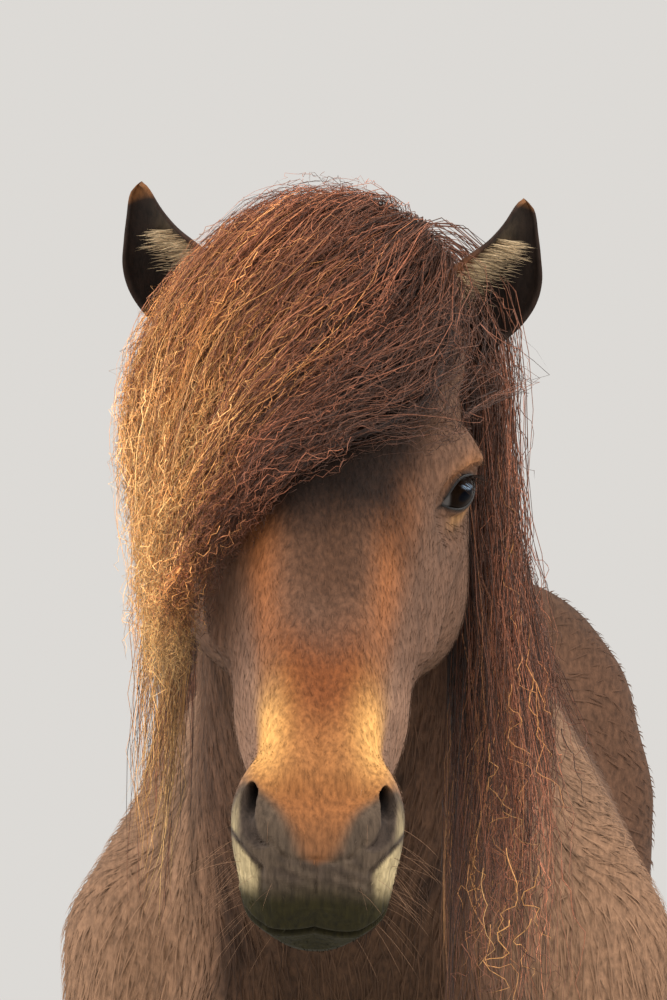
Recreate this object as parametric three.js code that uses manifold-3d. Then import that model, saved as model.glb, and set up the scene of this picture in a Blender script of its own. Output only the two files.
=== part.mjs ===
// Icelandic horse, standing, life size. Millimetres, +Z up, facing -Y, the horse's left towards +X.
import * as THREE from "three";
import { mergeVertices } from "three/addons/utils/BufferGeometryUtils.js";
import Module from "manifold-3d";

const wasm = await Module();
wasm.setup();

// Driving dimensions. Every other length is a share of the height at the withers: the sizes below
// are in units of 1/138 of it, so that they read as centimetres on a horse 138 cm high.
const WITHERS_HEIGHT = 1380;
const UNIT = WITHERS_HEIGHT / 138;
const GAP = 0.03; // the clearance between two parts, 0.3 mm
const HEAD_PITCH = THREE.MathUtils.degToRad(42); // the face against the vertical
const HEAD_ROLL = THREE.MathUtils.degToRad(1.8); // the poll leans to the horse's left
const BODY_YAW = THREE.MathUtils.degToRad(1.8); // the croup stands to the horse's left
const FACE_TOP = { y: -63.4, z: 159.5 }; // where the line of the face meets the poll
const HIND_STEP = { left: 5, right: -4 }; // how far back each hind foot stands
const FORE_STEP = { left: -2, right: 1.5 };

// Small helpers

const mix = (a, b, t) => a + (b - a) * t;
const clamp01 = (t) => Math.min(Math.max(t, 0), 1);
const ease = (t) => clamp01(t) ** 2 * (3 - 2 * clamp01(t));
const vec = (x, y, z) => new THREE.Vector3(x, y, z);
const range = (count) => Array.from({ length: count }, (_, i) => i);

// Seeded draws between two limits, the same on every run.
function draws(seed) {
  let state = seed;
  return (low, high) => {
    state = (state * 1664525 + 1013904223) % 4294967296;
    return mix(low, high, state / 4294967296);
  };
}

// A smooth curve through values at uneven stations.
function curveThrough(stations, values) {
  const last = stations.length - 1;
  const slope = (i) => {
    const a = Math.max(i - 1, 0);
    const b = Math.min(i + 1, last);
    return (values[b] - values[a]) / (stations[b] - stations[a]);
  };
  return (s) => {
    if (s <= stations[0]) return values[0];
    if (s >= stations[last]) return values[last];
    let i = 0;
    while (s > stations[i + 1]) i += 1;
    const h = stations[i + 1] - stations[i];
    const t = (s - stations[i]) / h;
    const a = values[i] * (1 + 2 * t) * (1 - t) ** 2 + values[i + 1] * t * t * (3 - 2 * t);
    return a + h * (slope(i) * t * (1 - t) ** 2 - slope(i + 1) * t * t * (1 - t));
  };
}

// One smooth curve for each column of a table, against the table's own row numbers.
const columns = (rows) => rows[0].map((_, k) => curveThrough(rows.map((_, i) => i), rows.map((r) => r[k])));

// The flesh is a field: negative inside, positive outside, about a distance near the skin.

// Two fields joined with a fillet of about the given size.
const fuse = (a, b, size) => Math.min(a, b) - Math.max(size - Math.abs(a - b), 0) ** 2 / (4 * size);

// A field hollowed by another, with the same kind of fillet.
const carve = (a, b, size) => -fuse(-a, b, size);

// An ellipsoid of muscle: centre, radii, and its lean about the lateral axis in degrees.
function mass([cx, cy, cz], [rx, ry, rz], lean = 0) {
  const c = Math.cos(THREE.MathUtils.degToRad(lean));
  const s = Math.sin(THREE.MathUtils.degToRad(lean));
  return (x, y, z) => {
    const dx = (x - cx) / rx;
    const dy = ((y - cy) * c + (z - cz) * s) / ry;
    const dz = ((z - cz) * c - (y - cy) * s) / rz;
    const k = Math.hypot(dx, dy, dz);
    const k2 = Math.hypot(dx / rx, dy / ry, dz / rz);
    return k < 1e-6 ? -Math.min(rx, ry, rz) : (k * (k - 1)) / k2;
  };
}

// A tapered rod of bone or tendon from one point to another.
function rod([ax, ay, az], [bx, by, bz], ra, rb) {
  const length2 = (bx - ax) ** 2 + (by - ay) ** 2 + (bz - az) ** 2;
  return (x, y, z) => {
    const along = (x - ax) * (bx - ax) + (y - ay) * (by - ay) + (z - az) * (bz - az);
    const t = clamp01(along / length2);
    return Math.hypot(x - mix(ax, bx, t), y - mix(ay, by, t), z - mix(az, bz, t)) - mix(ra, rb, t);
  };
}

// A hide stretched over sections: at each station the top, the bottom, the level of the widest
// point, the half width there, and how square the section is above and below that level.
function hide(rows) {
  const stations = rows.map((row) => row[0]);
  const part = (k) => curveThrough(stations, rows.map((row) => row[k]));
  const [top, bottom, level, half, above, below] = [1, 2, 3, 4, 5, 6].map(part);
  return (x, s, h) => {
    const dh = h - level(s);
    const tall = dh > 0 ? top(s) - level(s) : level(s) - bottom(s);
    const n = dh > 0 ? above(s) : below(s);
    const g = ((Math.abs(x) / half(s)) ** n + (Math.abs(dh) / tall) ** n) ** (1 / n);
    const radial = g < 1e-3 ? -Math.min(half(s), tall) : Math.hypot(x, dh) * (1 - 1 / g);
    const past = Math.max(stations[0] - s, s - stations[stations.length - 1]);
    return past > 0 ? Math.hypot(Math.max(radial, 0), past) : radial;
  };
}

const joined = (pieces, size) => (x, y, z) =>
  pieces.reduce((sum, piece) => fuse(sum, piece(x, y, z), size), 1e3);

// Trunk: the barrel, shoulders, chest and croup. x is lateral, y backwards, z up.
const barrel = hide([
  [-30, 118, 90, 103, 9, 2, 2],
  [-20, 131, 80, 102, 15.5, 1.9, 2.1],
  [-6, 136.2, 75, 100, 19, 1.65, 2.2],
  [7, 137.2, 72, 97, 20.6, 1.5, 2.2],
  [24, 133.4, 69.5, 95, 23.4, 1.6, 2.2],
  [44, 130.6, 68.5, 95, 24.8, 1.75, 2.1],
  [62, 130.6, 70.5, 96, 24.4, 1.8, 2.1],
  [76, 132.2, 76.5, 101, 21.8, 1.9, 2.1],
  [90, 133.4, 84, 105, 22, 2.1, 2.2],
  [101, 130.2, 87, 107, 21.2, 2.1, 2.2],
  [110, 125, 90, 107, 17, 2.1, 2.2],
  [117, 117, 96, 106, 9, 2, 2],
]);
const trunkMuscles = joined(
  [
    (x, y, z) => barrel(x, y, z),
    rod([0, -8, 133], [0, 16, 131.6], 3.6, 4), // withers
    rod([8.4, 2, 125], [16.4, -18, 106], 5, 7.4), // shoulder blade
    mass([15.4, -20.6, 100], [6.6, 7, 8.4]), // point of the shoulder
    mass([15.4, -1, 94], [7.2, 11.5, 14], -18), // triceps
    rod([16, -20, 97], [14.6, 0, 79], 6.6, 6.2), // upper arm
    mass([7.2, -26.5, 93], [8, 6.4, 11], 12), // breast muscle
    mass([0, -12, 82], [11, 14, 9]), // chest between the forelegs
    mass([9.4, 90, 119.5], [12.5, 17, 13]), // croup
    mass([17.4, 84, 119.5], [4.6, 6.4, 5.4]), // point of the hip
    mass([15.6, 97, 103], [8.8, 16, 19], 14), // thigh
    rod([8.2, 108.6, 114.5], [10.6, 111.2, 101], 7.6, 7.6), // buttock, upper
    rod([10.6, 111.2, 101], [12.8, 106.5, 82], 7.6, 6), // buttock, lower
    rod([16.2, 86, 111], [16.4, 80.5, 90], 8, 6.2), // front of the thigh
    mass([15.8, 79.5, 86], [5.2, 5.6, 6.5]), // stifle
    rod([18.6, 72, 91], [17.2, 80, 85], 3.6, 4.2), // fold of the flank
  ],
  4.5,
);

// Legs, each built on its own bones.
const foreBones = joined(
  [
    rod([14.4, 2, 84], [13, -1.2, 49], 7.4, 4.5), // forearm
    mass([14, -4.2, 71], [5, 4.6, 11]), // extensors, in front
    mass([13.8, 4.2, 72], [4.8, 4.6, 10.5]), // flexors, behind
    mass([12.9, -1.9, 45], [4.8, 4.6, 5.8]), // knee
    rod([12.8, 2.4, 48.4], [12.8, 2.6, 44.5], 2, 1.9), // bone at the back of the knee
    rod([12.7, -2, 41], [12.5, -1.5, 20], 3.2, 3.1), // cannon bone
    rod([12.7, 1.7, 43], [12.5, 1.9, 20], 2.2, 2.3), // tendons
    mass([12.5, -0.8, 17.6], [4.1, 4.3, 4.2]), // fetlock
    mass([12.5, 1.6, 14.6], [2.8, 2.6, 3.4], -10), // hair behind the fetlock
    rod([12.5, -2, 16], [12.5, -7.2, 8.4], 3.3, 3.8), // pastern
    mass([12.5, -7.6, 6.4], [5, 5.2, 2.4], -24), // coronet
  ],
  1.7,
);
const hindBones = joined(
  [
    mass([15.2, 96, 84], [8, 14.5, 9], -12), // foot of the thigh
    rod([15.4, 87, 84], [12.9, 105.6, 59], 7.8, 4.3), // shin
    rod([14, 99, 86], [12.6, 110.4, 63], 7.6, 3.4), // calf
    rod([12.6, 110.4, 64], [12.4, 114, 57.5], 2.9, 2.6), // tendon above the hock
    rod([12.4, 113.8, 57.5], [12.4, 111.4, 46], 2.7, 2.5), // heel bone
    mass([12.5, 108.4, 52], [4.5, 5.1, 7.2], 14), // hock
    rod([12.5, 108.6, 47], [12.5, 107.8, 20], 3.4, 3.2), // cannon bone
    rod([12.4, 111.8, 47], [12.4, 111.3, 20], 2.3, 2.3), // tendons
    mass([12.4, 108.4, 17.8], [4.2, 4.4, 4.3]), // fetlock
    mass([12.4, 110.8, 14.8], [2.8, 2.6, 3.4], -10), // hair behind the fetlock
    rod([12.4, 107, 16], [12.4, 101.8, 8.4], 3.4, 3.8), // pastern
    mass([12.4, 101.2, 6.4], [5, 5.1, 2.4], -24), // coronet
  ],
  2.4,
);

// Neck: stations along its axis from the base, sections square to it.
const NECK_BASE = { y: -12, z: 118 };
const NECK_RISE = THREE.MathUtils.degToRad(34.3);
const neckHide = hide([
  [-16, 19, -22, -4, 12, 1.7, 2],
  [0, 22.8, -26, -8, 14.6, 1.5, 2.1],
  [12, 22, -22.6, -6, 12.8, 1.45, 2.1],
  [25, 20.2, -18.4, -4, 11, 1.45, 2.1],
  [38, 17.6, -14.6, -2, 9.8, 1.55, 2.1],
  [50, 13.6, -11, 0, 8.8, 1.8, 2.1],
  [57, 9, -7, 1, 7, 2, 2],
]);
const neck = (x, y, z) => {
  const dy = y - NECK_BASE.y;
  const dz = z - NECK_BASE.z;
  const along = -dy * Math.cos(NECK_RISE) + dz * Math.sin(NECK_RISE);
  return neckHide(x, along, dy * Math.sin(NECK_RISE) + dz * Math.cos(NECK_RISE));
};

// Head: u runs down the face from the poll, v is lateral, w stands out from the face.
const toHead = (y, z) => {
  const dy = y - FACE_TOP.y;
  const dz = z - FACE_TOP.z;
  return {
    u: -dy * Math.sin(HEAD_PITCH) - dz * Math.cos(HEAD_PITCH),
    w: -dy * Math.cos(HEAD_PITCH) + dz * Math.sin(HEAD_PITCH),
  };
};
const fromHead = (u, v, w) =>
  vec(
    v,
    FACE_TOP.y - u * Math.sin(HEAD_PITCH) - w * Math.cos(HEAD_PITCH),
    FACE_TOP.z - u * Math.cos(HEAD_PITCH) + w * Math.sin(HEAD_PITCH),
  );
const skull = hide([
  [-1, -3.4, -13, -7.5, 6, 2.2, 2],
  [4, -1.4, -18, -8, 7.2, 2.3, 2.1],
  [10, -0.3, -21, -9, 8.4, 2.5, 2.4],
  [16, 0, -22.2, -9.5, 8.9, 2.7, 2.6],
  [21, -0.1, -21.8, -10, 8.8, 2.5, 2.6],
  [27, -0.7, -19.4, -9.6, 7.7, 2.2, 2.2],
  [33, -1.4, -16.8, -9.2, 6.7, 2, 2],
  [38, -2, -15, -8.8, 5.9, 2, 2.1],
  [43, -2.5, -13.6, -8, 4.9, 2, 2.2],
  [48, -3.1, -13, -7.8, 4.6, 2.1, 2.3],
  [52, -4.6, -12.8, -8.4, 4.3, 2.1, 2.2],
  [54.4, -7.4, -11.6, -9.2, 2.6, 2, 2],
]);
const headBones = joined(
  [
    (v, u, w) => skull(v, u, w),
    mass([6, 7.5, -4.6], [3.4, 5.6, 3.6]), // temple
    mass([7.4, 18.4, -6], [2.7, 4, 3.8]), // orbit
    rod([6.2, 14.6, -2.6], [9.1, 17.8, -4.6], 1.6, 1.5), // brow
    rod([8.9, 20.6, -9], [7.6, 7, -9.8], 1.5, 1.6), // cheekbone arch
    rod([8.6, 21.5, -9.2], [6.2, 31, -9.2], 1.5, 1), // facial crest
    mass([5.4, 16.8, -14], [4.5, 9, 7.6]), // cheek
    mass([5.4, 20, -16.4], [4.3, 6.2, 4.6]), // corner of the jaw
    rod([5, 10.5, -18.4], [4.8, 20, -19.8], 2.9, 2.4), // jowl
    rod([4.2, 20, -20], [2.6, 42, -12.8], 2.1, 1.6), // lower jaw
    rod([2.4, 14, -2.4], [1.7, 46, -4.2], 2.3, 1.7), // nasal bones
    mass([4.1, 48, -6.6], [2, 3.3, 3.2], 8), // nostril wing
    mass([2.2, 50.2, -7.2], [2.6, 3.1, 3.2]), // between the nostrils
    mass([1.9, 52.6, -9], [2.7, 2.3, 2.4]), // upper lip
    mass([0, 51, -12.1], [3.4, 3, 1.9]), // lower lip and chin
  ],
  1.6,
);
const headHollows = [
  mass([7.5, 12.6, -2], [1.2, 2, 1]), // over the eye
  mass([7.4, 34.6, -12.6], [1.5, 3.4, 2]), // in front of the cheek
  mass([6.4, 42.6, -7.4], [1.1, 2.6, 2]), // behind the nostril
];
const head = (x, y, z) => {
  const { u, w } = toHead(y, z);
  const flesh = headBones(x, u, w);
  return headHollows.reduce((sum, hollow) => carve(sum, hollow(x, u, w), 2.2), flesh);
};

// The whole of the flesh, one field, the same on both sides.
function flesh(x, y, z) {
  const side = Math.abs(x);
  const trunkAndNeck = fuse(trunkMuscles(side, y, z), neck(side, y, z), 6);
  const withHead = fuse(trunkAndNeck, head(side, y, z), 3);
  return fuse(fuse(withHead, foreBones(side, y, z), 3.5), hindBones(side, y, z), 3.5);
}

// The pose, as a warp of finished points: the roll of the head, the yaw of the body, the step of
// the feet.
function posed(p) {
  const side = p.x > 0 ? "left" : "right";
  const step = p.y > 60 ? HIND_STEP[side] : FORE_STEP[side];
  const onLeg = p.z < 78 && p.y < 117.2 && Math.abs(p.x) > 3;
  const y = onLeg ? p.y + step * ease((78 - p.z) / 60) : p.y;
  const turn = BODY_YAW * ease((p.y + 60) / 60);
  const c = Math.cos(turn);
  const s = Math.sin(turn);
  const body = vec(p.x * c + (y + 30) * s + 2.4, (y + 30) * c - p.x * s - 30, p.z);
  const rise = p.z - 141;
  const c2 = Math.cos(HEAD_ROLL);
  const s2 = Math.sin(HEAD_ROLL);
  const headPoint = vec(p.x * c2 + rise * s2 - 0.35, y, 141 + rise * c2 - p.x * s2);
  return headPoint.lerp(body, ease((p.y + 56) / 40));
}

// Solids

// How far the flesh reaches from a point along a direction.
function reach(field, from, direction, longest) {
  const step = 0.6;
  let near = 0;
  let far = step;
  const at = (r) => field(from.x + direction.x * r, from.y + direction.y * r, from.z + direction.z * r);
  while (far < longest && at(far) < 0) {
    near = far;
    far += step;
  }
  for (let i = 0; i < 14; i += 1) {
    const middle = (near + far) / 2;
    if (at(middle) < 0) near = middle;
    else far = middle;
  }
  return (near + far) / 2;
}

// Points and faces, in units, as a solid in millimetres with its faces pointing out.
function solidFrom(points, faces) {
  const build = (triVerts) =>
    new wasm.Manifold(
      new wasm.Mesh({
        numProp: 3,
        vertProperties: new Float32Array(points.flatMap((p) => [p.x * UNIT, p.y * UNIT, p.z * UNIT])),
        triVerts: new Uint32Array(triVerts),
      }),
    );
  const made = build(faces);
  if (made.volume() > 0) return made;
  return build(faces.map((_, i) => faces[i - (i % 3) + [0, 2, 1][i % 3]]));
}

// A solid from rings of equally many points, closed by fans from two poles.
function ringSolid(rings, firstPole, lastPole) {
  const count = rings[0].length;
  const points = rings.flat();
  const first = points.push(firstPole) - 1;
  const last = points.push(lastPole) - 1;
  const faces = [];
  for (const j of range(count)) {
    const k = (j + 1) % count;
    faces.push(first, k, j);
    faces.push(last, (rings.length - 1) * count + j, (rings.length - 1) * count + k);
    for (const i of range(rings.length - 1)) {
      const a = i * count;
      const b = a + count;
      faces.push(a + j, a + k, b + k, a + j, b + k, b + j);
    }
  }
  return solidFrom(points, faces);
}

// A three.js geometry, already placed in units, as a solid.
function geometrySolid(geometry) {
  const bare = geometry.clone();
  bare.deleteAttribute("normal");
  bare.deleteAttribute("uv");
  const merged = mergeVertices(bare, 1e-4);
  const { array } = merged.attributes.position;
  const points = range(array.length / 3).map((i) => vec(...array.slice(3 * i, 3 * i + 3)));
  return solidFrom(points, [...merged.index.array]);
}

// A slab with an outline in the plane of symmetry, given as pairs of y and z.
function slab(outline, low, high) {
  const shape = new THREE.Shape(outline.map(([y, z]) => new THREE.Vector2(y, z)));
  const geometry = new THREE.ExtrudeGeometry(shape, { depth: high - low, bevelEnabled: false, steps: 1 });
  geometry.applyMatrix4(new THREE.Matrix4().set(0, 0, 1, low, 1, 0, 0, 0, 0, 1, 0, 0, 0, 0, 0, 1));
  return geometrySolid(geometry);
}

// The largest closed surface of a solid, with scraps and sealed hollows dropped.
const largest = (solid) => solid.decompose().reduce((best, s) => (s.volume() > best.volume() ? s : best));

const mirrored = (p) => vec(-p.x, p.y, p.z);

// The middle of a ring of points.
const middle = (ring) => ring.reduce((sum, p) => sum.add(p), vec(0, 0, 0)).divideScalar(ring.length);

// Rings in planes that fan along the body. Each line gives the ends of one plane's mark in the
// plane of symmetry: the top's y and z, then the bottom's.
function bodyRings(lines, count, segments, field) {
  const along = columns(lines);
  return range(count).map((i) => {
    const [ty, tz, by, bz] = along.map((f) => f((i / (count - 1)) * (lines.length - 1)));
    const up = vec(0, ty - by, tz - bz);
    const tall = up.length() / 2;
    up.normalize();
    const centre = vec(0, (ty + by) / 2, (tz + bz) / 2);
    const wide = reach(field, centre, vec(1, 0, 0), 60);
    const ring = range(segments).map((j) => {
      const a = (j / segments) * Math.PI * 2;
      const out = vec(Math.sin(a) * wide, 0, 0).addScaledVector(up, Math.cos(a) * tall).normalize();
      return centre.clone().addScaledVector(out, reach(field, centre, out, 60));
    });
    return { ring, centre };
  });
}

// Cuts between the trunk and the legs.
const FORE_CUT = 70.6;
const hindCut = (y) => 75 + (y - 72) * 0.12;
const STUB = 3;
const [TORSO_RINGS, TORSO_SIDES] = [34, 30];
const [HEAD_RINGS, HEAD_SIDES] = [36, 30];
const [NECK_RINGS, NECK_SIDES] = [12, 28];
const [FORE_RINGS, HIND_RINGS, LEG_SIDES] = [23, 25, 12];
const [EYE_WIDE, EYE_HIGH] = [14, 10]; // the eyeball's segments

const headLine = (uTop, uBottom, wBottom) => {
  const top = fromHead(uTop, 0, -1.5);
  const bottom = fromHead(uBottom, 0, wBottom);
  return [top.y, top.z, bottom.y, bottom.z];
};
const HEAD_LINES = [
  [-58, 160, -54.6, 131.4],
  [-61.4, 159.6, -56.6, 131.6],
  headLine(3, 17, -22),
  headLine(8, 18.6, -21.8),
  headLine(13, 20.6, -21.4),
  headLine(18, 23, -20.6),
  headLine(23.5, 26.6, -19.4),
  headLine(29, 30.6, -17.8),
  headLine(34.5, 35.2, -15.8),
  headLine(39.5, 40, -14.2),
  headLine(44, 44.4, -13),
  headLine(48, 48.2, -12.6),
  headLine(51, 51, -12.4),
  headLine(53.2, 53.2, -12),
  headLine(54.5, 54.3, -11.4),
];
const NECK_LINES = [
  [-7, 140.6, -34.5, 101.5],
  [-22, 148, -41, 112.5],
  [-36, 154, -47, 120.5],
  [-48, 158.6, -51.6, 126.6],
  HEAD_LINES[0],
];
const TRUNK_LINES = [
  NECK_LINES[0],
  [-2.5, 139, -31, 89],
  [2.5, 138, -21, 78.5],
  [9, 136.8, -5, 73],
  [18, 134.4, 13, 70.5],
  [31, 131.6, 30, 69],
  [46, 130.6, 46, 68.5],
  [60, 130.6, 60, 70.4],
  [72, 131.6, 71, 75.4],
  [82, 133, 80, 81],
  [92, 133.2, 89, 85.6],
  [101, 130.2, 97, 88],
  [107.4, 126.6, 104, 89],
  [112, 122, 109.4, 91],
  [115, 118, 113.4, 93.4],
  [117, 114.6, 116.2, 96.4],
  [118.2, 111.6, 117.8, 99.4],
];

// A run of body rings, closed by a flat face at the start, and by a rounded pole or a flat face at
// the end.
function bodyPart(lines, count, segments, field, roundEnd) {
  const rings = bodyRings(lines, count, segments, field);
  const end = rings[count - 1].centre;
  const out = end.clone().sub(rings[count - 2].centre).normalize();
  const pole = roundEnd ? end.clone().addScaledVector(out, reach(field, end, out, 20)) : end;
  return ringSolid(rings.map((r) => r.ring), rings[0].centre, pole);
}

// A line moved to the back by a distance, so that the parts on either side of it keep clear.
function slid([ty, tz, by, bz], distance) {
  const length = Math.hypot(ty - by, tz - bz);
  const [ny, nz] = [((tz - bz) / length) * distance, (-(ty - by) / length) * distance];
  return [ty + ny, tz + nz, by + ny, bz + nz];
}

const trunkField = (x, y, z) => {
  const floor = y < 60 ? FORE_CUT - STUB : hindCut(y) - STUB;
  return Math.max(flesh(x, y, z), floor - z);
};

function torsoSolid(field) {
  const lines = [slid(TRUNK_LINES[0], GAP), ...TRUNK_LINES.slice(1)];
  return bodyPart(lines, TORSO_RINGS, TORSO_SIDES, field, true);
}
function torso() {
  const underFore = [[-32, 60], [16, 60], [16, FORE_CUT], [-32, FORE_CUT]];
  const underHind = [[71, 60], [130, 60], [130, hindCut(130)], [71, hindCut(71)]];
  const cuts = [
    slab(underFore, 5, 30), slab(underFore, -30, -5), slab(underHind, 3, 30), slab(underHind, -30, -3),
  ];
  return largest(cuts.reduce((solid, cut) => solid.subtract(cut), torsoSolid(trunkField)));
}

// Legs: each line gives a ring's height, its centre's x and y, and the tilt of its plane.
const FORE_LINE = [
  [FORE_CUT - GAP, 14, 0.4, 0],
  [60, 13.6, 0, 0],
  [50, 13, -0.8, 0],
  [44, 12.8, -0.6, 0],
  [38, 12.6, -0.4, 0],
  [24, 12.5, 0, 0],
  [18, 12.5, 0, -8],
  [13, 12.5, -3.6, -24],
  [9, 12.5, -6.6, -26],
  [5.6, 12.5, -7.8, -24],
];
const HIND_TILT = THREE.MathUtils.radToDeg(Math.atan(0.12));
const HIND_LINE = [
  [hindCut(95) - GAP, 15, 95, HIND_TILT],
  [72, 14.6, 99, 20],
  [64, 13.4, 104.6, 26],
  [57, 12.6, 109.4, 20],
  [51, 12.4, 109.6, 10],
  [44, 12.4, 109.8, 0],
  [24, 12.4, 109.2, 0],
  [18, 12.4, 109, -8],
  [13, 12.4, 105.6, -24],
  [9, 12.4, 102.4, -26],
  [5.6, 12.4, 101.2, -24],
];
function legRings(line, count, segments) {
  const along = columns(line);
  return range(count).map((i) => {
    const [z, x, y, tilt] = along.map((f) => f((i / (count - 1)) * (line.length - 1)));
    const lean = THREE.MathUtils.degToRad(tilt);
    const centre = vec(x, y, z);
    const ring = range(segments).map((j) => {
      const a = (j / segments) * Math.PI * 2;
      const out = vec(Math.sin(a), Math.cos(a) * Math.cos(lean), Math.cos(a) * Math.sin(lean));
      return centre.clone().addScaledVector(out, reach(flesh, centre, out, 22));
    });
    return { ring, centre };
  });
}
function leg(line, count, segments, side) {
  const rings = legRings(line, count, segments);
  const placed = (p) => (side > 0 ? p : mirrored(p));
  return ringSolid(
    rings.map((r) => r.ring.map(placed)),
    placed(rings[0].centre),
    placed(rings[count - 1].centre),
  );
}

// Hoof: from the coronet, which slopes down to the heel, to a flat sole.
const HOOF = { toe: 8.8, heel: 3.4, half: 6, segments: 16 };
function hoof(line, side) {
  const [z, x, y, tilt] = line[line.length - 1];
  const lean = THREE.MathUtils.degToRad(tilt);
  const top = legRings(line, 2, HOOF.segments)[1].ring.map((p) => {
    const out = p.clone().sub(vec(x, y, z)).multiplyScalar(1.06);
    return vec(x, y, z).add(out).add(vec(0, -Math.sin(lean), -Math.cos(lean)).multiplyScalar(GAP));
  });
  const sole = range(HOOF.segments).map((j) => {
    const a = (j / HOOF.segments) * Math.PI * 2;
    const back = Math.cos(a);
    return vec(x + Math.sin(a) * HOOF.half, y + (back > 0 ? back * HOOF.heel : back * HOOF.toe), 0);
  });
  const wall = top.map((p, i) => p.clone().lerp(sole[i], 0.9));
  const placed = (p) => (side > 0 ? p : mirrored(p));
  const rings = [top, wall, sole].map((ring) => ring.map(placed));
  return ringSolid(rings, middle(rings[0]), middle(rings[2]));
}

// Eyes and lids
const EYE = { u: 18.6, v: 8.1, w: -7, radius: 2.1 };
const LID = { thickness: 0.32, corner: 1.95, rise: 0.95, drop: 0.8 };
const GAZE = vec(0.75, -0.65, -0.06).normalize();
const eyeCentre = fromHead(EYE.u, EYE.v, EYE.w);
const eyeLine = vec(2.5, 2.45, 1.55).addScaledVector(GAZE, -vec(2.5, 2.45, 1.55).dot(GAZE)).normalize();
const eyeFrame = new THREE.Matrix4()
  .makeBasis(eyeLine, GAZE.clone().cross(eyeLine), GAZE)
  .setPosition(eyeCentre);
function ball(radius, wide, high) {
  return new THREE.SphereGeometry(radius, wide, high).rotateX(Math.PI / 2).applyMatrix4(eyeFrame);
}
function sided(geometry, side) {
  if (side > 0) return geometrySolid(geometry);
  return geometrySolid(geometry.clone().applyMatrix4(new THREE.Matrix4().makeScale(-1, 1, 1)));
}
function lidOpening() {
  const almond = new THREE.Shape();
  almond.moveTo(-LID.corner, 0);
  almond.quadraticCurveTo(0, LID.rise * 2, LID.corner, 0);
  almond.quadraticCurveTo(0, -LID.drop * 2, -LID.corner, 0);
  const through = { depth: 4, bevelEnabled: false, curveSegments: 7 };
  return new THREE.ExtrudeGeometry(almond, through).applyMatrix4(eyeFrame);
}

// Nostril: a comma-shaped opening, its wide end high, its tail curving down the outer side.
const NOSTRIL = { u: 47.6, v: 5, w: -6.4, depth: 2.6 };
function nostrilCutter() {
  const comma = new THREE.Shape();
  comma.moveTo(-0.9, 1.9);
  comma.quadraticCurveTo(0.3, 2.4, 0.7, 1.1);
  comma.quadraticCurveTo(1.1, -0.4, 0.2, -1.9);
  comma.quadraticCurveTo(0.35, -0.6, -0.3, 0.1);
  comma.quadraticCurveTo(-1.1, 0.9, -0.9, 1.9);
  const out = vec(0.72, -0.68, -0.12).normalize();
  const up = vec(-0.1, 0.1, 1).addScaledVector(out, -vec(-0.1, 0.1, 1).dot(out)).normalize();
  const across = up.clone().cross(out);
  const start = fromHead(NOSTRIL.u, NOSTRIL.v, NOSTRIL.w).addScaledVector(out, -NOSTRIL.depth);
  const through = { depth: NOSTRIL.depth + 3, bevelEnabled: false, curveSegments: 4 };
  const place = new THREE.Matrix4().makeBasis(across, up, out).setPosition(start);
  return new THREE.ExtrudeGeometry(comma, through).applyMatrix4(place);
}

// Mouth: a narrow groove round the lips.
const MOUTH = { corner: 44.5, level: -10.6, drop: 0.5, width: 0.22, depth: 0.8 };
function mouthCutter() {
  const stations = range(7);
  const edge = (offset) =>
    stations.map((i) => {
      const u = mix(MOUTH.corner, 56, i / 6);
      return new THREE.Vector2(u, MOUTH.level + MOUTH.drop * Math.sin((i / 6) * Math.PI) + offset);
    });
  const slit = new THREE.Shape([...edge(MOUTH.width / 2), ...edge(-MOUTH.width / 2).reverse()]);
  const start = fromHead(0, 0, 0);
  const down = fromHead(1, 0, 0).sub(start);
  const out = fromHead(0, 0, 1).sub(start);
  const cut = new THREE.ExtrudeGeometry(slit, { depth: 14, bevelEnabled: false }).translate(0, 0, -7);
  cut.applyMatrix4(new THREE.Matrix4().makeBasis(down, out, vec(-1, 0, 0)).setPosition(start));
  const inner = (x, y, z) => flesh(x, y, z) + MOUTH.depth;
  const core = bodyPart(HEAD_LINES.slice(9, 14).concat([headLine(53.7, 53.6, -11.6)]), 12, 20, inner, true);
  return geometrySolid(cut).subtract(core);
}

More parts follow.
